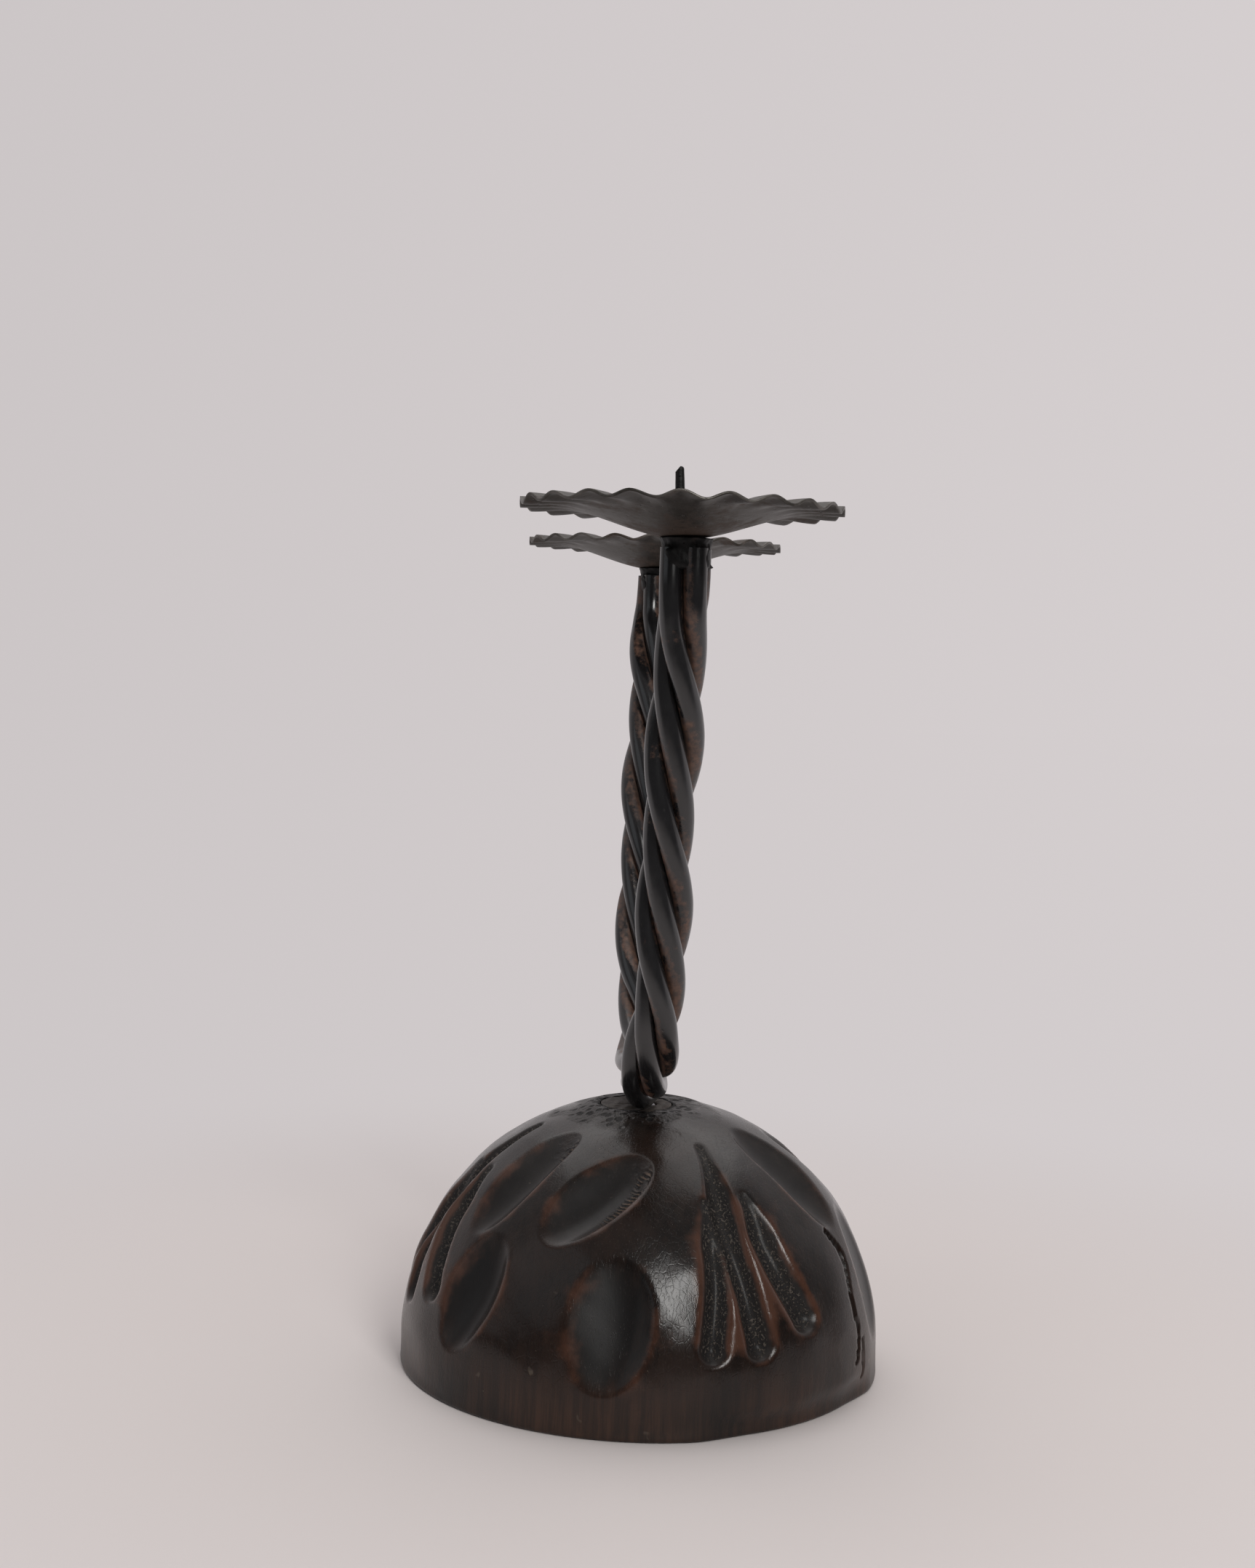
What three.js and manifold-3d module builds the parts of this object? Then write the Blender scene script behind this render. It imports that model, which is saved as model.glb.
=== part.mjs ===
// Two-arm pricket candlestick: a carved wooden dome carries a rope of four twisted
// iron rods, bent into a V, with a crimped drip pan and a spike on each end.
// Millimetres, +Z up. The origin is on the table under the middle of the base;
// the arms lean towards +X and -X.
import * as THREE from 'three';
import { mergeVertices } from 'three/addons/utils/BufferGeometryUtils.js';
import Module from 'manifold-3d';

const wasm = await Module();
wasm.setup();

// ---------- driving dimensions ----------
const FIT_GAP = 0.3;

const BASE = { radius: 76.7, height: 83.6, band: 10, dome: 75.5, foot: 1.2, segments: 48, rings: 11 };
const STUD_BORE = 3.4;
const BORE_SIDES = 24;
const COUNTERBORE = { radius: 16, depth: 18 };
const PLUG = { radius: 11.5, depth: 12, x: 0, y: -3.3, sides: 40 };

const ROD = { radius: 3.24, sides: 10, steps: 64 };
const ROPE = {
  pitch: 104,            // one full turn of the twist
  fadeIn: 28.5,          // the twist grows over this length from each end
  longRadius: 5.44,      // two opposite rods lie this far from the rope's middle
  shortRadius: 4.24,     // the other two lie this far
  squareRadius: 4.78,    // all four, where the rods run straight
  startAngle: 121,       // degrees, at the middle of the bend
  bendHeight: 92.4,      // middle of the rope above the table, at the bend
  lengthSteps: 1200,     // how finely the rope's length is measured
};
// Middle of the rope from the bend to the tip of one arm: [outwards, up from the bend].
const ARM_PROFILE = [
  [12, 0.4], [27, 6.5], [38, 20], [43, 31], [55.5, 71], [69, 112], [79.8, 139.5], [84.6, 149], [85.7, 154],
  [85.8, 157.8],
];
// The hand-bent arms wander sideways by these amounts at the same points.
const SWAY_AT_BEND = -1.45;
const SWAY_POSITIVE_ARM = [-1.45, -1.23, -0.33, 0.79, 0.67, 1.18, 1.46, 1.46, 1.46, 1.46];
const SWAY_NEGATIVE_ARM = [-1.45, -1.51, -1.76, -2.06, -1.84, -0.49, 0.5, 1.2, 1.7, 2];

const ARM_REACH = 85.8;
const COLLAR = { radius: 6.3, bottom: 251.1, top: 258.1, flare: 1.1, sides: 24 };
const PAN = {
  radius: 45, sheet: 0.9, bottom: 259.3, depth: 8.3, dish: 0.85,
  flutes: 22, fluteHeight: 1.05, fluteStart: 26, fluteRun: 18, crestAngle: -4, hole: 1.95,
  facetsPerFlute: 4,
};
const PAN_RINGS = [12, 20, 28, 33.5, 39];
const PRICKET = {
  foot: 258.5, shoulderTop: 262.3, neckTop: 267.3, chisel: 278.2, top: 279.4,
  shoulder: 1.6, neck: 1.5, tip: 1.25, sides: 12,
  lean: 2.9,             // degrees, towards -Y
};
const CHISEL_SIZE = 8;

const STUD = { radius: 3, bottom: 6.5, top: 83.3, sides: 20 };
const WASHER = { radius: 9, thickness: 1.6, sides: 28 };
const NUT = { acrossFlats: 10, height: 5 };

// Carving on the dome. An oval is one long shallow gouge between two points,
// each [azimuth in degrees, height]; a groove is a deep cut through its points.
const OVALS = [
  { from: [-46, 78.6], to: [-56, 53], width: 14 },
  { from: [-3, 75.1], to: [-32.5, 54.4], width: 18 },
  { from: [-46, 50.8], to: [-53, 19], width: 17 },
  { from: [-7.8, 51.9], to: [-10.5, 14.5], width: 26 },
  { from: [62, 79.5], to: [67.6, 52.6], width: 17 },
  { from: [79, 54], to: [73, 18], width: 17 },
  { from: [92, 76], to: [101, 54], width: 16 },
  { from: [104, 51], to: [100, 17], width: 20 },
  { from: [163, 78], to: [157, 53], width: 16 },
  { from: [160, 50], to: [167, 16], width: 23 },
  { from: [228, 77], to: [238, 53], width: 16 },
  { from: [237, 50], to: [233, 17], width: 21 },
];
// The gouge reaches a little past both points, as parts of their distance and the width.
const OVAL_TOOL = { along: 0.6, across: 0.62, depth: 2.4, sides: 12, rings: 8 };
const GROOVE_GROUPS = [0, 106, 182, -104];
const GROOVES = [
  [[18.2, 63.7], [17, 45], [13.8, 21.3]],
  [[26.1, 76.9], [22.6, 57.6], [24.6, 40.7], [26.5, 20.5]],
  [[32.9, 63.3], [35.1, 47], [41.5, 26.8]],
];
const GROOVE = { radius: 3.5, proud: 0.6, sides: 6, steps: 6 };

// ---------- materials ----------
const finish = (color, metalness, roughness) =>
  new THREE.MeshStandardMaterial({ color, metalness, roughness });
const stainedWood = finish(0x2b211c, 0, 0.42);
const endGrain = finish(0x33261f, 0, 0.6);
const forgedIron = finish(0x2a2a2c, 0.85, 0.45);
const panIron = finish(0x4a423c, 0.8, 0.5);
const steel = finish(0x8d8d90, 0.9, 0.4);

// ---------- helpers ----------
const smooth = (t) => {
  const c = Math.min(Math.max(t, 0), 1);
  return c * c * (3 - 2 * c);
};
const radians = THREE.MathUtils.degToRad;

// A turned piece from a closed outline of [radius, height] points.
function turned(outline, segments) {
  const closed = [...outline, outline[0]].map(([r, z]) => new THREE.Vector2(r, z));
  const geometry = new THREE.LatheGeometry(closed, segments);
  geometry.rotateX(Math.PI / 2);
  return geometry;
}

function solid(geometry) {
  const bare = geometry.clone();
  bare.deleteAttribute('normal');
  bare.deleteAttribute('uv');
  const merged = mergeVertices(bare, 1e-3);
  return new wasm.Manifold(new wasm.Mesh({
    numProp: 3,
    vertProperties: new Float32Array(merged.attributes.position.array),
    triVerts: new Uint32Array(merged.index.array),
  }));
}

function geometryOf(manifold) {
  const mesh = manifold.getMesh();
  const geometry = new THREE.BufferGeometry();
  geometry.setAttribute('position', new THREE.BufferAttribute(mesh.vertProperties, 3));
  geometry.setIndex(new THREE.BufferAttribute(mesh.triVerts, 1));
  geometry.computeVertexNormals();
  return geometry;
}

function piece(name, geometry, material) {
  const mesh = new THREE.Mesh(geometry, material);
  mesh.name = name;
  return mesh;
}

// ---------- wooden base ----------
// Height on the dome gives its radius: a straight band, then an elliptical dome.
function domeRadius(height) {
  const rise = Math.max(height - BASE.band, 0) / BASE.dome;
  return BASE.radius * Math.sqrt(1 - rise * rise);
}

function domePoint([azimuth, height], lift = 0) {
  const angle = radians(azimuth);
  const radius = domeRadius(height);
  const point = new THREE.Vector3(radius * Math.cos(angle), radius * Math.sin(angle), height);
  return point.addScaledVector(domeNormal(point), lift);
}

function domeNormal(point) {
  const rise = Math.max(point.z - BASE.band, 0);
  return new THREE.Vector3(
    point.x / BASE.radius ** 2,
    point.y / BASE.radius ** 2,
    rise / BASE.dome ** 2,
  ).normalize();
}

function baseBlank() {
  const outline = [[STUD_BORE, BASE.height]];
  outline.push([STUD_BORE, COUNTERBORE.depth], [COUNTERBORE.radius, COUNTERBORE.depth]);
  outline.push([COUNTERBORE.radius, 0], [BASE.radius - BASE.foot, 0], [BASE.radius, BASE.foot]);
  const topAngle = Math.asin((BASE.height - BASE.band) / BASE.dome);
  for (let ring = 0; ring <= BASE.rings; ring += 1) {
    const angle = (topAngle * ring) / BASE.rings;
    outline.push([BASE.radius * Math.cos(angle), BASE.band + BASE.dome * Math.sin(angle)]);
  }
  return solid(turned(outline, BASE.segments));
}

function ovalTool({ from, to, width }) {
  const start = domePoint(from);
  const end = domePoint(to);
  const middle = domePoint([(from[0] + to[0]) / 2, (from[1] + to[1]) / 2]);
  const along = end.clone().sub(start);
  const length = along.length();
  const out = domeNormal(middle);
  along.addScaledVector(out, -along.dot(out)).normalize();
  const across = out.clone().cross(along);
  const tool = new THREE.SphereGeometry(1, OVAL_TOOL.sides, OVAL_TOOL.rings);
  tool.scale(OVAL_TOOL.along * length, OVAL_TOOL.across * width, OVAL_TOOL.depth);
  tool.applyMatrix4(new THREE.Matrix4().makeBasis(along, across, out).setPosition(middle));
  return solid(tool);
}

function grooveTool(points, turn) {
  const route = points.map(([azimuth, height]) => domePoint([azimuth + turn, height], GROOVE.proud));
  const section = new THREE.Shape(
    Array.from({ length: GROOVE.sides }, (_, i) => {
      const angle = (2 * Math.PI * i) / GROOVE.sides;
      return new THREE.Vector2(GROOVE.radius * Math.cos(angle), GROOVE.radius * Math.sin(angle));
    }),
  );
  const extrudePath = new THREE.CatmullRomCurve3(route);
  return solid(new THREE.ExtrudeGeometry(section, { steps: GROOVE.steps, extrudePath }));
}

function plugRecess() {
  const radius = PLUG.radius + FIT_GAP;
  const recess = new THREE.CylinderGeometry(radius, radius, 2 * PLUG.depth, PLUG.sides);
  recess.rotateX(Math.PI / 2);
  recess.translate(PLUG.x, PLUG.y, BASE.height);
  return solid(recess);
}

function baseDome() {
  let blank = baseBlank();
  for (const oval of OVALS) blank = blank.subtract(ovalTool(oval));
  for (const turn of GROOVE_GROUPS) {
    for (const groove of GROOVES) blank = blank.subtract(grooveTool(groove, turn));
  }
  return geometryOf(blank.subtract(plugRecess()));
}

// A flush round plug of end grain, bored for the stud off its own middle.
function centrePlug() {
  const bottom = BASE.height - PLUG.depth + FIT_GAP;
  const height = BASE.height - bottom;
  const body = new THREE.CylinderGeometry(PLUG.radius, PLUG.radius, height, PLUG.sides);
  body.rotateX(Math.PI / 2);
  body.translate(PLUG.x, PLUG.y, bottom + height / 2);
  const bore = new THREE.CylinderGeometry(STUD_BORE, STUD_BORE, 3 * height, BORE_SIDES);
  bore.rotateX(Math.PI / 2);
  bore.translate(0, 0, bottom);
  return geometryOf(solid(body).subtract(solid(bore)));
}

// ---------- rope of four iron rods ----------
function ropeMiddle() {
  const arm = (side, sway) => ARM_PROFILE.map(([out, up], i) =>
    new THREE.Vector3(side * out, sway[i], ROPE.bendHeight + up));
  const bend = new THREE.Vector3(0, SWAY_AT_BEND, ROPE.bendHeight);
  const curve = new THREE.CatmullRomCurve3([
    ...arm(-1, SWAY_NEGATIVE_ARM).reverse(), bend, ...arm(1, SWAY_POSITIVE_ARM),
  ]);
  curve.arcLengthDivisions = ROPE.lengthSteps;
  return curve;
}

const middle = ropeMiddle();
const ropeLength = middle.getLength();

// Length of full twist that a stretch from the rope's end is worth: the twist rate
// grows as a smooth step over the fade-in length and is constant after it.
function twistedLength(fromEnd) {
  const x = fromEnd / ROPE.fadeIn;
  return ROPE.fadeIn * (x < 1 ? x ** 3 - x ** 4 / 2 : x - 0.5);
}

class RodCurve extends THREE.Curve {
  constructor(index) {
    super();
    this.index = index;
  }

  getPoint(t, target = new THREE.Vector3()) {
    const along = (t - 0.5) * ropeLength;
    const fromEnd = ropeLength / 2 - Math.abs(along);
    const twisted = twistedLength(ropeLength / 2) - twistedLength(fromEnd);
    const turns = (-Math.sign(along) * twisted) / ROPE.pitch + this.index / 4;
    const angle = 2 * Math.PI * turns + radians(ROPE.startAngle);
    const packed = smooth(fromEnd / ROPE.fadeIn);
    const tight = this.index % 2 ? ROPE.shortRadius : ROPE.longRadius;
    const radius = THREE.MathUtils.lerp(ROPE.squareRadius, tight, packed);
    const tangent = middle.getTangentAt(t);
    const normal = tangent.clone().cross(new THREE.Vector3(0, 1, 0)).normalize();
    const side = normal.clone().cross(tangent);
    return target.copy(middle.getPointAt(t))
      .addScaledVector(side, radius * Math.cos(angle))
      .addScaledVector(normal, radius * Math.sin(angle));
  }
}

function rod(index) {
  const section = new THREE.Shape();
  section.absarc(0, 0, ROD.radius, 0, 2 * Math.PI);
  return new THREE.ExtrudeGeometry(section, {
    steps: ROD.steps,
    curveSegments: ROD.sides / 2,
    extrudePath: new RodCurve(index),
  });
}

// ---------- candle ends ----------
// The dished pan: a smooth bowl that turns out into a rim of radial flutes.
function panHeight(radius, angle) {
  const dish = PAN.depth * smooth(radius / PAN.radius / PAN.dish);
  const wave = Math.cos(PAN.flutes * (angle - radians(PAN.crestAngle)));
  const depth = PAN.fluteHeight * smooth((radius - PAN.fluteStart) / PAN.fluteRun);
  return dish + depth * wave;
}

function dripPan() {
  const radii = [PAN.hole, ...PAN_RINGS, PAN.radius];
  const lower = radii.map((r) => [r, -PAN.sheet]);
  const upper = radii.map((r) => [r, 0]).reverse();
  const geometry = turned([...lower, ...upper], PAN.flutes * PAN.facetsPerFlute);
  const position = geometry.attributes.position;
  for (let i = 0; i < position.count; i += 1) {
    const [x, y, z] = [position.getX(i), position.getY(i), position.getZ(i)];
    position.setZ(i, z + panHeight(Math.hypot(x, y), Math.atan2(y, x)));
  }
  geometry.computeVertexNormals();
  return geometry;
}

// The short neck welded between the rod ends and the bowl, flared under the bowl.
function collar() {
  const { radius, bottom, top, flare } = COLLAR;
  const outline = [[0, bottom], [radius, bottom], [radius, top - 2 * flare]];
  outline.push([radius + flare, top], [0, top]);
  const points = outline.map(([r, z]) => new THREE.Vector2(r, z));
  return new THREE.LatheGeometry(points, COLLAR.sides).rotateX(Math.PI / 2);
}

// The spike: a round shank riveted through the pan, drawn thinner, with its tip
// cut on the skew by one chisel blow. It leans a little.
function pricket() {
  const { foot, shoulderTop, neckTop, chisel, top, shoulder, neck, tip, lean } = PRICKET;
  const outline = [[0, foot], [shoulder, foot], [shoulder, shoulderTop], [neck, neckTop]];
  outline.push([tip, top], [0, top]);
  const points = outline.map(([r, z]) => new THREE.Vector2(r, z));
  const shank = new THREE.LatheGeometry(points, PRICKET.sides).rotateX(Math.PI / 2);
  const blade = new THREE.BoxGeometry(CHISEL_SIZE, CHISEL_SIZE, CHISEL_SIZE);
  blade.translate(0, 0, CHISEL_SIZE / 2);
  blade.rotateX(Math.atan2(top - chisel, 2 * tip));
  blade.translate(0, -tip, chisel);
  const spike = geometryOf(solid(shank).subtract(solid(blade)));
  return spike.translate(0, 0, -foot).rotateX(radians(lean)).translate(0, 0, foot);
}

// ---------- fastening under the base ----------
function stud() {
  const length = STUD.top - STUD.bottom;
  const geometry = new THREE.CylinderGeometry(STUD.radius, STUD.radius, length, STUD.sides);
  return geometry.rotateX(Math.PI / 2).translate(0, 0, STUD.bottom + length / 2);
}

function washer() {
  const top = COUNTERBORE.depth - FIT_GAP;
  const bottom = top - WASHER.thickness;
  const outline = [[STUD_BORE, bottom], [WASHER.radius, bottom], [WASHER.radius, top], [STUD_BORE, top]];
  return turned(outline, WASHER.sides);
}

function nut() {
  const top = COUNTERBORE.depth - 2 * FIT_GAP - WASHER.thickness;
  const corner = NUT.acrossFlats / Math.sqrt(3);
  const hexagon = new THREE.Shape(
    Array.from({ length: 6 }, (_, i) => {
      const angle = (Math.PI * i) / 3;
      return new THREE.Vector2(corner * Math.cos(angle), corner * Math.sin(angle));
    }),
  );
  hexagon.holes.push(new THREE.Path().absarc(0, 0, STUD.radius + FIT_GAP, 0, 2 * Math.PI, true));
  const geometry = new THREE.ExtrudeGeometry(hexagon, { depth: NUT.height, bevelEnabled: false });
  return geometry.translate(0, 0, top - NUT.height);
}

// ---------- assembly ----------
const group = new THREE.Group();
group.add(piece('base_dome', baseDome(), stainedWood));
group.add(piece('centre_plug', centrePlug(), endGrain));
for (let index = 0; index < 4; index += 1) {
  group.add(piece(`iron_rod_${index + 1}`, rod(index), forgedIron));
}

const ARM_ENDS = [
  { label: 'a', x: ARM_REACH, sway: SWAY_POSITIVE_ARM.at(-1) },
  { label: 'b', x: -ARM_REACH, sway: SWAY_NEGATIVE_ARM.at(-1) },
];
for (const { label, x, sway } of ARM_ENDS) {
  const neck = piece(`pan_collar_${label}`, collar(), forgedIron);
  neck.position.set(x, sway, 0);
  const pan = piece(`drip_pan_${label}`, dripPan(), panIron);
  pan.position.set(x, 0, PAN.bottom);
  const spike = piece(`pricket_${label}`, pricket(), forgedIron);
  spike.position.set(x, 0, 0);
  group.add(neck, pan, spike);
}

group.add(piece('centre_stud', stud(), steel));
group.add(piece('stud_washer', washer(), steel));
group.add(piece('stud_nut', nut(), steel));

export default group;
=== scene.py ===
"""The finished look of a two-arm pricket candlestick: a carved, dark-stained wooden dome,
a rope of four twisted iron rods, two crimped drip pans and their spikes.

Metres, +Z up. The arms lean towards +X and -X, and the viewer stands on the +X side."""

import math

import bmesh
import bpy
import numpy as np
from mathutils import Matrix, Vector


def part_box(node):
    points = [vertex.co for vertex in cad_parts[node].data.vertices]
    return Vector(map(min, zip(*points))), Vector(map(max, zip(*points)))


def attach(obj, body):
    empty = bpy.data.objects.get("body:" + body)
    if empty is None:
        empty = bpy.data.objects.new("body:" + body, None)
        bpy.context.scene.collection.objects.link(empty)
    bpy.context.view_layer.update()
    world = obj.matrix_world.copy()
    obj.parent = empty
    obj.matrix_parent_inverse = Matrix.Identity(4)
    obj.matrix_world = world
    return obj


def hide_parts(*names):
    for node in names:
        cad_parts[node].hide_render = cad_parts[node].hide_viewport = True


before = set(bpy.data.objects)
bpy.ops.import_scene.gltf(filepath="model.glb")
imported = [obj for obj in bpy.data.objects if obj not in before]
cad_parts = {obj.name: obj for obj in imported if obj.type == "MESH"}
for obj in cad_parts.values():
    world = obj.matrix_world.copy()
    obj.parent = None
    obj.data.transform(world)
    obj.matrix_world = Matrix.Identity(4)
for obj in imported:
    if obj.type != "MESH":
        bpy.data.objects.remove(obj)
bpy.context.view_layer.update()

MM = 0.001


# ---------- sizes, from the frame ----------
def box_mm(node):
    low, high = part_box(node)
    return np.array(low) / MM, np.array(high) / MM


_, BASE_RADIUS, BASE_TOP = box_mm("base_dome")[1]
PLUG_LOW, PLUG_HIGH = box_mm("centre_plug")
PLUG_RADIUS = (PLUG_HIGH[0] - PLUG_LOW[0]) / 2
PLUG_MIDDLE = (PLUG_LOW + PLUG_HIGH)[:2] / 2
STUD_LOW, STUD_HIGH = box_mm("centre_stud")
STUD_RADIUS = (STUD_HIGH[0] - STUD_LOW[0]) / 2
WASHER_LOW, WASHER_HIGH = box_mm("stud_washer")
NUT_LOW, NUT_HIGH = box_mm("stud_nut")
ARMS = {"a": 1, "b": -1}

# The dome: a straight band, then an ellipse that is sanded flat on top.
BAND_HEIGHT = 10.0
DOME_RISE = 75.5
STUD_BORE = 3.4
COUNTERBORE_RADIUS = 16.0
COUNTERBORE_DEPTH = 18.0
FOOT_BEVEL = 1.1
FIT_GAP = 0.3

# The rope: the middle line of one arm as [outwards, up from the bend], and its sway.
ROD_COUNT = 4
ROD_RADIUS = 3.33
TWIST_PITCH = 104.0
TWIST_FADE = 35.0
LONG_RADIUS = 5.30
SHORT_RADIUS = 4.06
SQUARE_RADIUS = 4.72
START_ANGLE = 121.0
BEND_HEIGHT = 92.4
ARM_PROFILE = [
    (12, 0.4), (27, 6.5), (38, 20), (43, 31), (55.5, 71), (69, 112), (79.8, 139.5), (84.6, 149),
    (85.7, 154), (85.8, 164.4),
]
SWAY_AT_BEND = -1.45
SWAY = {
    1: (-1.45, -1.23, -0.33, 0.79, 0.67, 1.18, 1.46, 1.46, 1.46, 1.46),
    -1: (-1.45, -1.51, -1.76, -2.06, -1.84, -0.49, 0.5, 1.2, 1.7, 2.0),
}

# Carving, between points given as [degrees round the dome, mm up]: ovals, then groups of
# three grooves, then drying cracks. A skewed oval is deeper on one long side.
OVALS = [
    dict(start=(-46, 79.0), end=(-56, 54.5), width=15.5, depth=4.0, skew=0.6, ticked=1.0),
    dict(start=(-6.0, 75.3), end=(-31.8, 55.8), width=18.5, depth=4.0, skew=0.55, ticked=1.0),
    dict(start=(-44.5, 50.8), end=(-51.5, 19.5), width=18.5, depth=4.0, skew=0.6),
    dict(start=(-8.4, 49.8), end=(-11.2, 16.0), width=23.5, depth=3.6, skew=0.65),
    dict(start=(61, 79.5), end=(66.4, 56), width=17.5, depth=4.4, skew=-0.4),
    dict(start=(79, 54), end=(73, 18), width=17, depth=2.4, skew=0.0),
    dict(start=(92, 76), end=(101, 54), width=16, depth=3.0, skew=0.3),
    dict(start=(104, 51), end=(100, 17), width=20, depth=3.2, skew=0.3),
    dict(start=(163, 78), end=(157, 53), width=16, depth=3.6, skew=0.3, ticked=0.8),
    dict(start=(160, 50), end=(167, 16), width=23, depth=3.4, skew=0.3),
    dict(start=(228, 77), end=(238, 53), width=16, depth=3.6, skew=0.3, ticked=0.8),
    dict(start=(237, 50), end=(233, 17), width=21, depth=3.2, skew=0.3),
]
GROOVE_TURNS = [0, 106, 182, -104]
GROOVES = [
    dict(route=[(18.2, 64.5), (17.2, 46), (14.5, 26.5)], width=4.6, depth=4.2),
    dict(route=[(26.0, 77.0), (22.8, 60), (24.6, 41), (26.2, 26.5)], width=4.8, depth=4.4),
    dict(route=[(32.5, 65.0), (34.6, 49), (40.2, 32)], width=5.2, depth=4.3),
]
CRACKS = [
    dict(route=[(60.4, 52.2), (63.4, 44.6), (60.8, 34.2), (60.3, 29), (61, 23), (58.7, 13)],
         width=(0.5, 1.5, 0.8, 1.0, 0.6, 0.3), depth=2.6),
    dict(route=[(63.5, 20), (62.6, 14), (63.2, 7)], width=(0.3, 0.5, 0.3), depth=1.2),
]

# Pans and spikes.
PAN = dict(radius=45.0, sheet=0.75, bottom=259.3, depth=8.3, dish=0.85, flutes=22,
           flute_height=1.05, flute_start=26.0, flute_run=18.0, crest=math.radians(-4), hole=1.6)
COLLAR_STEPS = 120
SPIKE_STEPS = 32
SPIKE_RADIUS = 1.58
SPIKE_TAPER = 0.33
SPIKE_TIP = (0.97, 0.9, 0.78, 0.55)
SPIKE_LEAN = math.tan(math.radians(2.9))


# ---------- a node tree that can be written as arithmetic ----------
class Wire:
    """One output of a node, which takes part in ordinary arithmetic."""

    def __init__(self, tree, socket):
        self.tree = tree
        self.socket = socket


def operator(operation, swapped):
    def result(wire, other):
        first, second = (other, wire) if swapped else (wire, other)
        return wire.tree.math(operation, first, second)
    return result


for sign, operation in dict(add="ADD", sub="SUBTRACT", mul="MULTIPLY", truediv="DIVIDE").items():
    setattr(Wire, f"__{sign}__", operator(operation, swapped=False))
    setattr(Wire, f"__r{sign}__", operator(operation, swapped=True))


class Tree:
    """Adds and wires nodes; inputs are named, and a value is a Wire or a constant."""

    def __init__(self, nodes):
        self.nodes = nodes

    def feed(self, socket, value):
        if isinstance(value, Wire):
            self.nodes.links.new(value.socket, socket)
        elif value is not None:
            socket.default_value = value

    def add(self, kind, inputs=None, output=0, **settings):
        node = self.nodes.nodes.new(kind)
        for name, value in settings.items():
            setattr(node, name, value)
        for name, value in (inputs or {}).items():
            self.feed(node.inputs[name], value)
        return Wire(self, node.outputs[output]) if node.outputs else node

    def math(self, operation, first, second=None):
        return self.add("ShaderNodeMath", {0: first, 1: second}, operation=operation)

    def vector(self, operation, first, second=None, scale=None, output=0):
        node = self.nodes.nodes.new("ShaderNodeVectorMath")
        node.operation = operation
        self.feed(node.inputs[0], first)
        if second is not None:
            self.feed(node.inputs[1], second)
        if scale is not None:
            self.feed(node.inputs["Scale"], scale)
        return Wire(self, node.outputs[output])

    def combine(self, x=0.0, y=0.0, z=0.0):
        return self.add("ShaderNodeCombineXYZ", {0: x, 1: y, 2: z})

    def separate(self, vector):
        node = self.add("ShaderNodeSeparateXYZ", {0: vector}).socket.node
        return [Wire(self, output) for output in node.outputs]

    def smooth(self, value, low, high, to_low=0.0, to_high=1.0):
        inputs = {"Value": value, "From Min": low, "From Max": high, "To Min": to_low, "To Max": to_high}
        return self.add("ShaderNodeMapRange", inputs, interpolation_type="SMOOTHSTEP")

    def mix_values(self, factor, first, second):
        return self.add("ShaderNodeMix", {0: factor, 2: first, 3: second}, data_type="FLOAT")

    def mix_colours(self, factor, first, second):
        node = self.nodes.nodes.new("ShaderNodeMix")
        node.data_type = "RGBA"
        self.feed(node.inputs[0], factor)
        self.feed(node.inputs[6], first if isinstance(first, Wire) else rgba(first))
        self.feed(node.inputs[7], second if isinstance(second, Wire) else rgba(second))
        return Wire(self, node.outputs[2])

    def layered(self, colour, *layers):
        """Colours laid over one another, each given as (how much, which colour)."""
        for amount, tint in layers:
            colour = self.mix_colours(amount, colour, tint)
        return colour

    def noise(self, vector, scale, detail=4.0, roughness=0.55, distortion=0.0):
        return self.add("ShaderNodeTexNoise", {
            "Vector": vector, "Scale": scale, "Detail": detail, "Roughness": roughness,
            "Distortion": distortion})

    def cells(self, vector, scale, feature="F1"):
        return self.add("ShaderNodeTexVoronoi", {"Vector": vector, "Scale": scale}, feature=feature)

    def attribute(self, name):
        node = self.nodes.nodes.new("ShaderNodeAttribute")
        node.attribute_name = name
        return Wire(self, node.outputs["Fac"])

    def here(self):
        return self.add("ShaderNodeTexCoord", output="Object")

    def use(self, group, inputs, output):
        node = self.nodes.nodes.new("ShaderNodeGroup")
        node.node_tree = group
        for name, value in inputs.items():
            self.feed(node.inputs[name], value)
        if isinstance(output, str):
            return Wire(self, node.outputs[output])
        return [Wire(self, node.outputs[name]) for name in output]


def rgba(colour):
    return (*colour, 1.0)


def shader_group(name, inputs, outputs, build):
    """A shared effect: named number inputs, named outputs, and build() to wire them."""
    group = bpy.data.node_groups.new(name, "ShaderNodeTree")
    for label, default in inputs.items():
        socket = group.interface.new_socket(label, in_out="INPUT", socket_type="NodeSocketFloat")
        socket.default_value = default
    for label in outputs:
        group.interface.new_socket(label, in_out="OUTPUT", socket_type="NodeSocketFloat")
    tree = Tree(group)
    entry = group.nodes.new("NodeGroupInput")
    leave = group.nodes.new("NodeGroupOutput")
    made = build(tree, {label: Wire(tree, entry.outputs[label]) for label in inputs})
    for label, value in made.items():
        tree.feed(leave.inputs[label], value)
    return group


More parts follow.
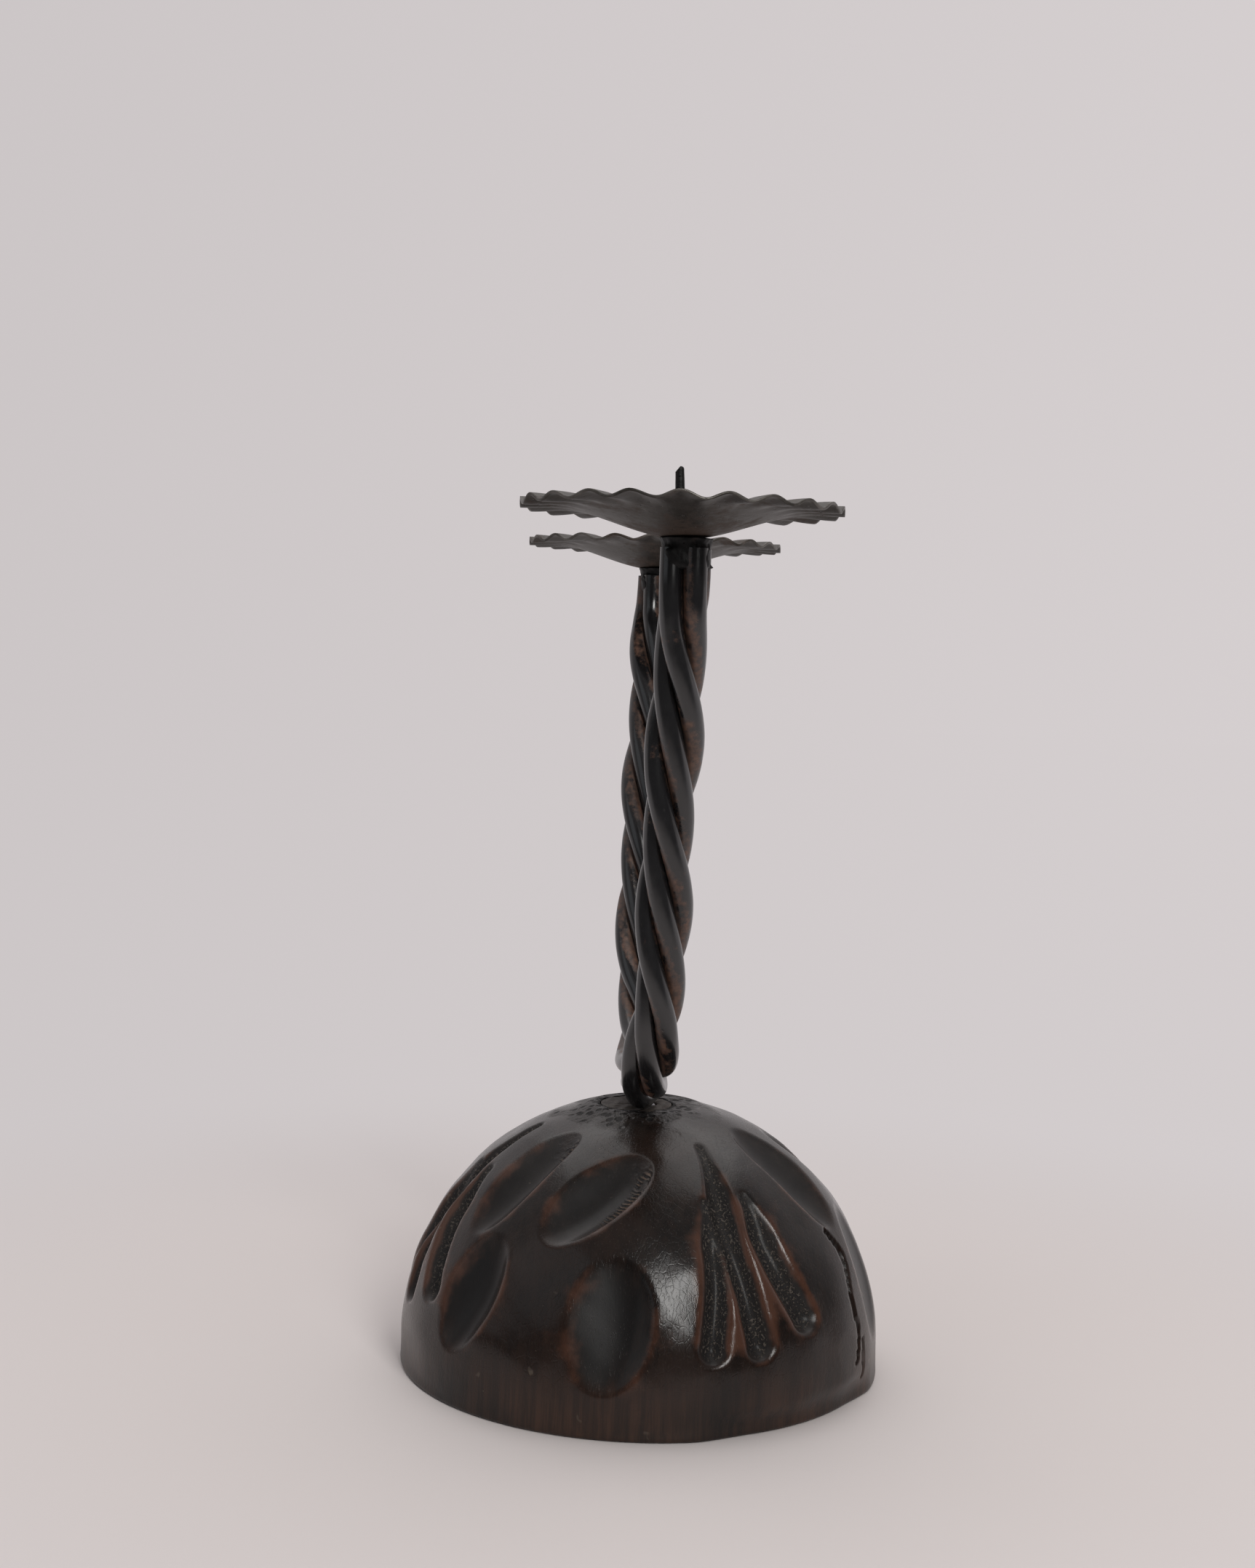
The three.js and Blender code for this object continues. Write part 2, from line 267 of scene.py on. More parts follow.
# ---------- shared effects ----------
def wood_figure(tree, given):
    """Long vertical streaks of the trunk, short pores, and their relief."""
    x, y, z = tree.separate(tree.here())
    column = tree.combine(x, y, z * given["Length"])
    broad = tree.noise(column, given["Streaks"], 3.0, 0.6)
    fine = tree.noise(column, given["Streaks"] * 5.5, 2.0, 0.5)
    pores = tree.smooth(fine, 0.60, 0.72)
    streak = tree.smooth(broad * 0.7 + fine * 0.3, 0.38, 0.64)
    return {"Streak": streak, "Pores": pores, "Height": fine * 0.6 - pores * 0.7}


def edge_wear(tree, given):
    """Where hands rub: raised edges, broken up so that no edge is worn evenly."""
    patches = tree.noise(tree.here(), given["Scale"], 4.0, 0.6)
    raised = given["Raised"] + (patches - 0.5) * given["Breakup"]
    return {"Mask": tree.smooth(raised, given["Start"], given["Full"])}


def rust_bloom(tree, given):
    """Thin brown rust in drifts, with a finer mottle inside them."""
    here = tree.here()
    drift = tree.noise(here, given["Scale"], 5.0, 0.62, 0.4)
    mottle = tree.noise(here, given["Scale"] * 6.0, 3.0, 0.7)
    reach = drift * 0.72 + mottle * 0.28 + given["Bias"]
    return {"Mask": tree.smooth(reach, 0.50, 0.68), "Mottle": mottle}


def forge_skin(tree, given):
    """The shallow dents, scale and pits of hot-worked iron."""
    here = tree.here()
    dents = tree.noise(here, given["Dents"], 2.0, 0.5)
    scale = tree.noise(here, given["Pits"], 3.0, 0.55)
    pits = tree.smooth(scale, 0.36, 0.24)
    return {"Height": dents * 0.8 + scale * 0.35 - pits * 0.3, "Tone": scale, "Pits": pits}


def dust_and_top_sheen(tree, given):
    """Dust with a painted sheen: a lighter film on upward faces, and dust in specks elsewhere."""
    here = tree.here()
    normal = tree.add("ShaderNodeNewGeometry", output="Normal")
    up = tree.separate(normal)[2]
    film = tree.noise(here, given["Scale"], 4.0, 0.6)
    lying = tree.smooth(up, 0.2, 1.0) * tree.smooth(film, 0.35, 0.75)
    spots = tree.cells(here, given["Scale"] * 5.0)
    specks = tree.smooth(spots, 0.07, 0.03)
    return {"Film": lying * given["Amount"], "Specks": specks}


def hairlines(tree, given):
    """Fine rubbing scratches that run in one slanted direction, in patches."""
    here = tree.here()
    turned = tree.add("ShaderNodeMapping", {0: here, "Rotation": (0.5, 0.35, 0.9)})
    x, y, z = tree.separate(turned)
    lines = tree.noise(tree.combine(x * given["Stretch"], y, z), given["Scale"], 2.0, 0.5)
    lie = tree.noise(here, given["Scale"] * 0.08, 2.0, 0.5)
    return {"Mask": tree.smooth(lines, 0.70, 0.76) * tree.smooth(lie, 0.48, 0.60)}


WOOD_FIGURE = shader_group(
    "wood_figure", {"Streaks": 60.0, "Length": 0.08}, ["Streak", "Pores", "Height"], wood_figure)
EDGE_WEAR = shader_group(
    "edge_wear", {"Raised": 0.0, "Scale": 60.0, "Breakup": 0.6, "Start": 0.25, "Full": 0.8},
    ["Mask"], edge_wear)
RUST_BLOOM = shader_group(
    "rust_bloom", {"Scale": 60.0, "Bias": 0.0}, ["Mask", "Mottle"], rust_bloom)
FORGE_SKIN = shader_group(
    "forge_skin", {"Dents": 120.0, "Pits": 700.0}, ["Height", "Tone", "Pits"], forge_skin)
DUST_AND_TOP_SHEEN = shader_group(
    "dust_and_top_sheen", {"Scale": 90.0, "Amount": 0.1}, ["Film", "Specks"], dust_and_top_sheen)
HAIRLINES = shader_group(
    "hairlines", {"Scale": 260.0, "Stretch": 0.06}, ["Mask"], hairlines)


# ---------- materials ----------
# Colours of the finishes, as linear red, green and blue.
STAIN_BLACK = (0.0065, 0.0052, 0.0047)
STAIN_BROWN = (0.0190, 0.0115, 0.0085)
STAIN_WARM = (0.030, 0.0155, 0.0105)
HOLLOW_SHADE_AND_SHEEN = (0.0062, 0.0056, 0.0058)
RUBBED_FOOT = (0.098, 0.044, 0.025)
WORN_WOOD = (0.108, 0.048, 0.030)
WOOD_DUST_AND_SHEEN = (0.060, 0.053, 0.047)
TORN_GRAIN_GLINT = (0.13, 0.110, 0.092)
TORN_FIBRE = (0.16, 0.105, 0.070)
NICK_BLACK = (0.003, 0.0025, 0.0023)
CRACK_BLACK = (0.0025, 0.002, 0.0018)
WOOD_SCRATCH = (0.16, 0.13, 0.10)
WOOD_SPECK = (0.26, 0.22, 0.17)
END_DARK, END_LIGHT = (0.022, 0.016, 0.012), (0.05, 0.036, 0.027)
END_PORE = (0.006, 0.005, 0.004)
END_DUST_AND_SHEEN, END_SPECK = (0.10, 0.088, 0.075), (0.22, 0.19, 0.15)
ROD_BLACK, ROD_BLUE = (0.0060, 0.0060, 0.0068), (0.0135, 0.0137, 0.0152)
RUST_DARK, RUST_LIGHT = (0.055, 0.026, 0.016), (0.165, 0.078, 0.045)
CREVICE_SHADE = (0.012, 0.009, 0.008)
ROD_DUST_AND_SHEEN, ROD_SCRATCH = (0.16, 0.145, 0.13), (0.25, 0.24, 0.23)
WELD_BLACK, WELD_GREY = (0.004, 0.004, 0.0045), (0.010, 0.0095, 0.0095)
WELD_RUST = (0.060, 0.030, 0.019)
PAN_DARK, PAN_LIGHT = (0.030, 0.0265, 0.0225), (0.064, 0.056, 0.047)
PAN_FOLD_SHADE, PAN_RUST = (0.014, 0.0115, 0.010), (0.070, 0.038, 0.023)
PAN_SCRATCH, PAN_RUBBED = (0.24, 0.22, 0.20), (0.20, 0.185, 0.17)
ZINC_DARK, ZINC_LIGHT = (0.36, 0.36, 0.38), (0.52, 0.52, 0.53)
ZINC_RUST = (0.16, 0.085, 0.05)


def new_material(name):
    material = bpy.data.materials.new(name)
    material.use_nodes = True
    material.node_tree.nodes.clear()
    return material, Tree(material.node_tree)


def close_material(tree, relief, depth, **finish):
    """Ends a material in its Principled shader, with relief in metres as a Bump."""
    shader = tree.nodes.nodes.new("ShaderNodeBsdfPrincipled")
    for label, value in finish.items():
        tree.feed(shader.inputs[label.replace("_", " ")], value)
    bump = tree.add("ShaderNodeBump", {"Height": relief, "Distance": depth, "Strength": 1.0})
    tree.feed(shader.inputs["Normal"], bump)
    output = tree.nodes.nodes.new("ShaderNodeOutputMaterial")
    tree.nodes.links.new(shader.outputs[0], output.inputs[0])


def stained_wood():
    """Near-black stain and wax, rubbed through to red-brown on the carved edges, with painted light and shade
    laid in as well: on the ovals' left walls, in the hollows, on the groove floors, at the front of the foot
    and on upward faces.
    """
    material, tree = new_material("stained_wood")
    here = tree.here()
    x, y, z = tree.separate(here)
    hollow, trough = tree.attribute("hollow"), tree.attribute("trough")
    rough_cut, crack = tree.attribute("rough_cut"), tree.attribute("crack")
    streak, pores, grain = tree.use(
        WOOD_FIGURE, {"Streaks": 380.0, "Length": 0.045}, ["Streak", "Pores", "Height"])
    worn = tree.use(EDGE_WEAR, {"Raised": tree.attribute("raised"), "Scale": 110.0, "Breakup": 1.7,
                                "Start": 0.22, "Full": 1.0}, "Mask")
    scratches = tree.use(HAIRLINES, {"Scale": 210.0, "Stretch": 0.05}, "Mask")
    film, specks = tree.use(DUST_AND_TOP_SHEEN, {"Scale": 75.0, "Amount": 0.35}, ["Film", "Specks"])
    patches = tree.noise(here, 28.0, 3.0, 0.6)
    drift = tree.noise(here, 17.0, 3.0, 0.6)
    pits = tree.smooth(tree.cells(tree.combine(x, y, z * 0.6), 360.0), 0.50, 0.26) * rough_cut
    stripes = tree.math("SINE", tree.attribute("run") * 9.0 + tree.noise(here, 300.0) * 9.0)
    bitten = tree.attribute("ticks") * tree.smooth(tree.noise(here, 190.0, 2.0), 0.34, 0.50)
    ticks = tree.smooth(stripes, 0.05, 0.60) * bitten
    fibres = tree.smooth(stripes, -0.35, -0.85) * bitten
    # torn grain with painted glints: light specks on the groove floors
    glints = tree.smooth(tree.noise(here, 1300.0, 2.0, 0.6), 0.50, 0.64) * tree.smooth(trough, 0.5, 1.0)
    crackle = tree.smooth(
        tree.cells(tree.combine(x, y, z * 0.45), 620.0, "DISTANCE_TO_EDGE"), 0.10, 0.0)

    low_band = tree.smooth(z, 0.022, 0.004)
    warm = tree.smooth(drift, 0.42, 0.66) * (1.0 - tree.smooth(hollow, 0.0, 0.4))
    rubbed = low_band * tree.smooth(drift, 0.40, 0.62) * (0.2 + streak * 0.8)
    # Painted shade: on the +X front the rubbed brown is cut to about a third, darker on the side that faces
    # the dim front of the room.
    rubbed = rubbed * (0.35 + tree.smooth(x, 0.03, -0.04) * 0.65)
    colour = tree.layered(
        STAIN_BLACK, (streak * 0.5, STAIN_BROWN), (warm * 0.45, STAIN_WARM), (rubbed * 0.9, RUBBED_FOOT),
        # painted shade and sheen: the hollows lose their brown and turn a darker blue-grey
        (tree.smooth(hollow, 0.25, 0.9) * 0.8, HOLLOW_SHADE_AND_SHEEN), (worn * 0.65, WORN_WOOD),
        # dust and painted sheen: a lighter grey film on upward faces
        (film * 0.6, WOOD_DUST_AND_SHEEN), (glints * 0.6, TORN_GRAIN_GLINT), (pits * 0.8 + ticks * 0.9, NICK_BLACK),
        (fibres * 0.7, TORN_FIBRE), (scratches * 0.35, WOOD_SCRATCH),
        (specks * 0.5 * tree.smooth(patches, 0.55, 0.62), WOOD_SPECK), (crack, CRACK_BLACK))

    satin = 0.15 + patches * 0.14 + low_band * 0.14 + tree.smooth(pores, 0.0, 1.0) * 0.08
    satin = satin + tree.smooth(hollow, 0.02, 0.4) * 0.15 + trough * 0.30 + rough_cut * 0.22
    dull = tree.math("MAXIMUM", crack * 0.9, pits * 0.85 + ticks * 0.6)
    outside = 1.0 - tree.smooth(hollow, 0.02, 0.3)
    mottle = tree.noise(here, 420.0, 3.0, 0.6) * (0.02 + outside * 0.055 + rough_cut * 2.4)
    relief = grain * 0.05 - pits * 1.3 - ticks * 1.7 + glints * 0.6 - scratches * 0.12
    relief = relief + mottle - crackle * outside * 0.03
    close_material(tree, relief, 0.0005, Base_Color=colour, Roughness=tree.math("MAXIMUM", satin, dull),
                   Specular_IOR_Level=0.31, Coat_Weight=0.12, Coat_Roughness=0.2)
    return material


def end_grain():
    """The plug's top: rough, open end grain with rings and nicks."""
    material, tree = new_material("end_grain")
    here = tree.here()
    x, y, _ = tree.separate(here)
    heart_x, heart_y, ring_closeness = 0.02, 0.012, 4200.0
    from_heart = tree.vector("LENGTH", tree.combine(x + heart_x, y + heart_y, 0.0), output=1)
    rings = tree.math("SINE", from_heart * ring_closeness)
    wander = tree.noise(here, 260.0, 4.0, 0.6)
    open_pores = tree.smooth(tree.cells(here, 1500.0), 0.26, 0.12)
    film, specks = tree.use(DUST_AND_TOP_SHEEN, {"Scale": 120.0, "Amount": 0.55}, ["Film", "Specks"])
    colour = tree.layered(
        END_DARK, (tree.smooth(rings * 0.25 + wander, 0.3, 0.8), END_LIGHT), (open_pores * 0.8, END_PORE),
        (film, END_DUST_AND_SHEEN), (specks * 0.4, END_SPECK))
    relief = rings * 0.08 + wander * 0.5 - open_pores * 0.6
    close_material(tree, relief, 0.0005, Base_Color=colour, Roughness=0.48 + wander * 0.2,
                   Specular_IOR_Level=0.4)
    return material


def forged_iron():
    """Black, waxed rod with brown rust where two rods meet and down one flank, and painted shade on the faces
    that turn in between the rods.
    """
    material, tree = new_material("forged_iron")
    skin, tone = tree.use(FORGE_SKIN, {"Dents": 70.0, "Pits": 420.0}, ["Height", "Tone"])
    buried, flank = tree.attribute("buried"), tree.attribute("flank")
    reach = tree.smooth(flank, -0.25, -0.95, 0.0, 0.20) + tree.smooth(buried, 0.0, 0.6, 0.0, 0.16) - 0.09
    # painted shade: darker where a rod's face turns in towards the others
    crevice_shade = tree.smooth(buried, 0.1, 0.75)
    rust, mottle = tree.use(RUST_BLOOM, {"Scale": 75.0, "Bias": reach}, ["Mask", "Mottle"])
    film, specks = tree.use(DUST_AND_TOP_SHEEN, {"Scale": 160.0, "Amount": 0.18}, ["Film", "Specks"])
    scratches = tree.use(HAIRLINES, {"Scale": 420.0, "Stretch": 0.08}, "Mask")
    brown = tree.mix_colours(tree.smooth(mottle, 0.35, 0.7), RUST_DARK, RUST_LIGHT)
    colour = tree.layered(
        ROD_BLACK, (tone, ROD_BLUE), (rust * 0.85, brown), (crevice_shade * 0.8, CREVICE_SHADE),
        (film * 0.15, ROD_DUST_AND_SHEEN), (specks * 0.25 + scratches * 0.2, ROD_SCRATCH))
    close_material(tree, skin + mottle * rust * 0.6, 0.00004, Base_Color=colour,
                   Metallic=0.20 - rust * 0.18, Specular_IOR_Level=1.0,
                   Roughness=0.16 + tone * 0.10 + rust * 0.34 + crevice_shade * 0.2)
    return material


def weld_iron():
    """Rough black weld and spike iron, rustier than the rods."""
    material, tree = new_material("weld_iron")
    skin, tone, pits = tree.use(FORGE_SKIN, {"Dents": 260.0, "Pits": 900.0}, ["Height", "Tone", "Pits"])
    rust = tree.use(RUST_BLOOM, {"Scale": 140.0, "Bias": -0.02}, "Mask")
    colour = tree.layered(WELD_BLACK, (tone, WELD_GREY), (rust * 0.6, WELD_RUST))
    close_material(tree, skin - pits * 0.5, 0.0004, Base_Color=colour, Metallic=0.4 - rust * 0.3,
                   Roughness=0.42 + tone * 0.2 + rust * 0.2, Specular_IOR_Level=0.5)
    return material


def pan_iron():
    """Thin brown-grey sheet, rusty round the middle, rubbed bright on its rim and with painted shade where
    each flute dips.
    """
    material, tree = new_material("pan_iron")
    skin, tone, pits = tree.use(FORGE_SKIN, {"Dents": 70.0, "Pits": 540.0}, ["Height", "Tone", "Pits"])
    rust = tree.use(RUST_BLOOM, {"Scale": 55.0, "Bias": tree.attribute("centre") * 0.17}, "Mask")
    bright = tree.use(EDGE_WEAR, {"Raised": tree.attribute("rim"), "Scale": 90.0, "Breakup": 1.5,
                                  "Start": 0.75, "Full": 1.25}, "Mask")
    scratches = tree.use(HAIRLINES, {"Scale": 300.0, "Stretch": 0.07}, "Mask")
    # painted shade: darker where each flute dips
    fold_shade = tree.smooth(tree.attribute("crest"), 0.2, -0.9)
    colour = tree.layered(
        PAN_DARK, (tone, PAN_LIGHT), (fold_shade * 0.45, PAN_FOLD_SHADE), (rust * 0.6, PAN_RUST),
        (scratches * 0.3, PAN_SCRATCH), (bright * 0.7, PAN_RUBBED))
    close_material(tree, skin - pits * 0.4, 0.00025, Base_Color=colour, Metallic=0.55 - rust * 0.4,
                   Roughness=0.40 + tone * 0.14 + rust * 0.25 - bright * 0.12, Specular_IOR_Level=0.5)
    return material


def zinc_steel():
    """Dull zinc plate on the stud, washer and nut."""
    material, tree = new_material("zinc_steel")
    skin, tone = tree.use(FORGE_SKIN, {"Dents": 400.0, "Pits": 1400.0}, ["Height", "Tone"])
    rust = tree.use(RUST_BLOOM, {"Scale": 160.0, "Bias": -0.10}, "Mask")
    colour = tree.layered(ZINC_DARK, (tone, ZINC_LIGHT), (rust * 0.7, ZINC_RUST))
    close_material(tree, skin, 0.00008, Base_Color=colour, Metallic=0.9 - rust * 0.6,
                   Roughness=0.36 + tone * 0.2)
    return material


STAINED_WOOD = stained_wood()
END_GRAIN = end_grain()
FORGED_IRON = forged_iron()
WELD_IRON = weld_iron()
PAN_IRON = pan_iron()
ZINC_STEEL = zinc_steel()


# ---------- making pieces ----------
def finish_piece(piece, nodes, material, smooth=True):
    """Puts a mesh on the body, standing for its CAD nodes."""
    piece.data.materials.clear()
    piece.data.materials.append(material)
    piece.data.polygons.foreach_set("use_smooth", [smooth] * len(piece.data.polygons))
    piece.data.update()
    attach(piece, "root")
    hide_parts(*nodes)
    return piece


def link_mesh(name, mesh):
    piece = bpy.data.objects.new(name, mesh)
    bpy.context.scene.collection.objects.link(piece)
    return piece


def ring_points(rings, steps):
    """Points[ring, step, xyz] of level circles, each [middle x, middle y, radius, height]."""
    rings = np.asarray(rings, float)
    angles = np.linspace(0, 2 * math.pi, steps, endpoint=False)
    return np.stack([
        rings[:, :1] + rings[:, 2:3] * np.cos(angles),
        rings[:, 1:2] + rings[:, 2:3] * np.sin(angles),
        np.repeat(rings[:, 3:], steps, 1),
    ], -1)


def turned_points(outline, middle, steps):
    """Ring points of a turned piece about a vertical axis, from [radius, height]."""
    return ring_points([(*middle, radius, height) for radius, height in outline], steps)


def grid_mesh(name, points, close_rings=False, cap_ends=False):
    """A mesh from points[ring, step, xyz] in millimetres, closed around each ring.

    close_rings joins the last ring to the first, and cap_ends closes both with a fan."""
    rings, steps = points.shape[:2]
    index = np.arange(rings * steps).reshape(rings, steps)
    if close_rings:
        index = np.vstack([index, index[:1]])
    here, there = index[:-1], index[1:]
    quads = np.stack([here, np.roll(here, -1, 1), np.roll(there, -1, 1), there], -1).reshape(-1, 4)
    vertices = points.reshape(-1, 3) * MM
    faces = quads.tolist()
    if cap_ends:
        middles = np.array([points[0].mean(0), points[-1].mean(0)]) * MM
        vertices = np.vstack([vertices, middles])
        first, last = rings * steps, rings * steps + 1
        low, high = index[0].tolist(), index[-1].tolist()
        faces += [[first, low[(i + 1) % steps], low[i]] for i in range(steps)]
        faces += [[last, high[i], high[(i + 1) % steps]] for i in range(steps)]
    mesh = bpy.data.meshes.new(name)
    mesh.from_pydata(vertices.tolist(), [], faces)
    mesh.validate()
    piece = link_mesh(name, mesh)
    face_outwards(piece)
    return piece


def face_outwards(piece):
    shape = bmesh.new()
    shape.from_mesh(piece.data)
    bmesh.ops.recalc_face_normals(shape, faces=shape.faces)
    shape.to_mesh(piece.data)
    shape.free()


def store(piece, name, values):
    attribute = piece.data.attributes.new(name, "FLOAT", "POINT")
    attribute.data.foreach_set("value", np.ascontiguousarray(values, dtype=np.float32).ravel())


def smoothstep(low, high, value):
    t = np.clip((value - low) / (high - low), 0.0, 1.0)
    return t * t * (3.0 - 2.0 * t)


RIPPLE_WAVES = 9


def ripple(points, size, seed):
    """Smooth, seeded unevenness of about -1 to 1 from a few crossed waves."""
    source = np.random.default_rng(seed)
    total = np.zeros(points.shape[:-1])
    for _ in range(RIPPLE_WAVES):
        direction = source.normal(size=3)
        direction /= np.linalg.norm(direction)
        length = size * source.uniform(0.7, 1.9)
        total += np.sin(points @ direction * (2 * math.pi / length) + source.uniform(0, 2 * math.pi))
    return total * 2 / RIPPLE_WAVES


def catmull(points, per_span):
    """A centripetal Catmull-Rom curve through the points."""
    points = np.asarray(points, float)
    ends = np.vstack([2 * points[0] - points[1], points, 2 * points[-1] - points[-2]])
    curve = []
    for before, here, there, after in zip(ends[:-3], ends[1:-2], ends[2:-1], ends[3:]):
        pairs = ((before, here), (here, there), (there, after))
        first, span, last = [np.linalg.norm(b - a) ** 0.5 for a, b in pairs]
        leave = (here - before) / first - (there - before) / (first + span) + (there - here) / span
        reach = (there - here) / span - (after - here) / (span + last) + (after - there) / last
        leave, reach = leave * span, reach * span
        t = np.arange(per_span)[:, None] / per_span
        square = -3 * here + 3 * there - 2 * leave - reach
        cube = 2 * here - 2 * there + leave + reach
        curve.append(here + leave * t + square * t ** 2 + cube * t ** 3)
    return np.vstack(curve + [points[-1:]])


# ---------- carved wooden base ----------
DOME_STEPS = 480
DOME_RINGS = 164
TOP_RINGS = 12           # on the flat top, from its edge to the plug
TOP_ZONE = 72.0          # above this height the wood is left rough from the gouge
OVAL_REACH = 0.56        # half size of an oval, as a share of the length or width given for it
OVAL_FULLNESS = 0.85
DOME_THICKNESS = 20.0    # points farther in than this are on the other side of the dome
ROUTE_REACH = 9.0        # no groove or crack acts farther than this from its route
FAR_AWAY = 1e3
CHIP_DEPTH = 2.4
CHIP_AZIMUTH = math.radians(40)
PLUG_STEPS = 120
PLUG_FACE_RINGS = 16


def dome_radius(height):
    rise = np.clip((height - BAND_HEIGHT) / DOME_RISE, 0.0, 0.999)
    return BASE_RADIUS * np.sqrt(1 - rise ** 2)


def dome_normal(points):
    rise = np.maximum(points[..., 2] - BAND_HEIGHT, 0.0) / DOME_RISE ** 2
    normal = np.stack([points[..., 0] / BASE_RADIUS ** 2, points[..., 1] / BASE_RADIUS ** 2, rise], -1)
    return normal / np.linalg.norm(normal, axis=-1, keepdims=True)


def on_dome(place):
    azimuth, height = math.radians(place[0]), place[1]
    radius = dome_radius(height)
    return np.array([radius * math.cos(azimuth), radius * math.sin(azimuth), height])


def dome_outline():
    """[radius, height] up the outside of the dome, from its foot to the flat top."""
    foot = [(BASE_RADIUS - FOOT_BEVEL, 0.0), (BASE_RADIUS - 0.45, 0.25), (BASE_RADIUS - 0.1, 0.8)]
    band = [(BASE_RADIUS, h) for h in np.linspace(1.5, BAND_HEIGHT, 11)]
    top_angle = math.asin((BASE_TOP - BAND_HEIGHT) / DOME_RISE)
    angles = np.linspace(0, top_angle, DOME_RINGS)[1:]
    curve = [(BASE_RADIUS * math.cos(a), BAND_HEIGHT + DOME_RISE * math.sin(a)) for a in angles]
    return foot + band + curve


def base_rings():
    """Every ring of the base as [middle x, middle y, radius, height], round one closed loop."""
    rings = [(0.0, 0.0, radius, height) for radius, height in dome_outline()]
    outer = len(rings)
    recess = PLUG_RADIUS + FIT_GAP
    top_radius = rings[-1][2]
    for t in np.linspace(0, 1, TOP_RINGS + 1)[1:]:
        radius = top_radius + (recess - top_radius) * t
        rings.append((*PLUG_MIDDLE * t, radius, BASE_TOP))
    floor = PLUG_LOW[2] - FIT_GAP
    rings += [(*PLUG_MIDDLE, recess, BASE_TOP - 0.8), (*PLUG_MIDDLE, recess, floor)]
    mouth = COUNTERBORE_RADIUS + 0.4
    underside = [
        (STUD_BORE, floor), (STUD_BORE, COUNTERBORE_DEPTH), (COUNTERBORE_RADIUS - 0.1, COUNTERBORE_DEPTH),
        (COUNTERBORE_RADIUS, COUNTERBORE_DEPTH - 0.3), (COUNTERBORE_RADIUS, 0.5), (mouth, 0.0)]
    underside += [(radius, 0.0) for radius in np.linspace(mouth, BASE_RADIUS - FOOT_BEVEL, 8)[1:-1]]
    return rings + [(0.0, 0.0, radius, height) for radius, height in underside], outer


def oval_cut(points, start, end, width, depth, skew):
    """Depth of one spoon-shaped gouge, and each point's place in it along and across."""
    first, last = on_dome(start), on_dome(end)
    middle = on_dome(((start[0] + end[0]) / 2, (start[1] + end[1]) / 2))
    out = dome_normal(middle)
    along = last - first
    half_length = OVAL_REACH * np.linalg.norm(along)
    half_width = OVAL_REACH * width
    along -= out * (along @ out)
    along /= np.linalg.norm(along)
    across = np.cross(out, along)
    offset = points - middle
    s, t = offset @ along / half_length, offset @ across / half_width
    this_side = (offset @ out) > -DOME_THICKNESS
    inside = np.clip(1 - s ** 2 - t ** 2, 0, None) * this_side
    return depth * inside ** OVAL_FULLNESS * (1 + skew * t), s, t, inside


def along_route(points, route, per_span=14):
    """Distance from each point to a route on the dome, and how far along it that is."""
    line = np.array([on_dome(place) for place in catmull(route, per_span)])
    low, high = line.min(0) - ROUTE_REACH, line.max(0) + ROUTE_REACH
    close = np.where(((points > low) & (points < high)).all(-1).ravel())[0]
    flat = points.reshape(-1, 3)[close]
    gap = np.full(points.shape[:-1], FAR_AWAY).ravel()
    part = np.zeros_like(gap)
    best = np.full(len(close), FAR_AWAY)
    where = np.zeros(len(close))
    for i, (a, b) in enumerate(zip(line[:-1], line[1:])):
        step = b - a
        t = np.clip(((flat - a) @ step) / (step @ step), 0, 1)
        distance = np.linalg.norm(flat - a - t[:, None] * step, axis=1)
        better = distance < best
        best[better] = distance[better]
        where[better] = (i + t[better]) / (len(line) - 1)
    gap[close], part[close] = best, where
    return gap.reshape(points.shape[:-1]), part.reshape(points.shape[:-1])


def groove_cut(points, route, width, depth):
    """Depth of one deep groove: narrow at its top, full and round at its foot."""
    gap, part = along_route(points, route)
    half = width * (0.34 + 0.66 * smoothstep(-0.05, 0.32, part))
    inside = np.clip(1 - (gap / half) ** 2, 0, None)
    full = depth * (0.30 + 0.70 * smoothstep(0.0, 0.35, part))
    return full * inside, inside


def carve(points):
    """Total cut depth over the dome, with masks for the finish of each kind of cut."""
    names = ("depth", "hollow", "rough_cut", "trough", "ticks", "run", "warm")
    marks = {name: np.zeros(points.shape[:-1]) for name in names}

    def at_least(name, value):
        marks[name] = np.maximum(marks[name], value)

    for oval in OVALS:
        ticked = oval.get("ticked", 0.0)
        shape = {name: value for name, value in oval.items() if name != "ticked"}
        cut, s, t, inside = oval_cut(points, **shape)
        entry = smoothstep(-0.45, -0.8, s) * smoothstep(0.0, 0.25, inside) * smoothstep(-0.5, 0.4, t)
        lip = smoothstep(0.02, 0.10, inside) * smoothstep(0.62, 0.36, inside)
        lip *= smoothstep(0.15, 0.45, t) * smoothstep(0.30, -0.05, s) * smoothstep(-1.0, -0.85, s)
        # Painted light: the left inner wall of every oval, the wall that faces the lamp on the right at the
        # front, is painted reddish along with the rubbed rim.
        flank = smoothstep(0.85, 0.30, inside) * (inside > 0) * smoothstep(-0.05, -0.6, t)
        marks["run"] = np.where(inside > 0, s * 10, marks["run"])
        at_least("depth", cut)
        at_least("hollow", inside)
        at_least("rough_cut", 0.5 * entry * ticked)
        at_least("ticks", lip * ticked)
        at_least("warm", flank)
    for turn in GROOVE_TURNS:
        for groove in GROOVES:
            route = [(azimuth + turn, height) for azimuth, height in groove["route"]]
            cut, inside = groove_cut(points, route, groove["width"], groove["depth"])
            at_least("depth", cut)
            at_least("hollow", inside)
            at_least("trough", smoothstep(0.12, 0.6, inside))
    return marks


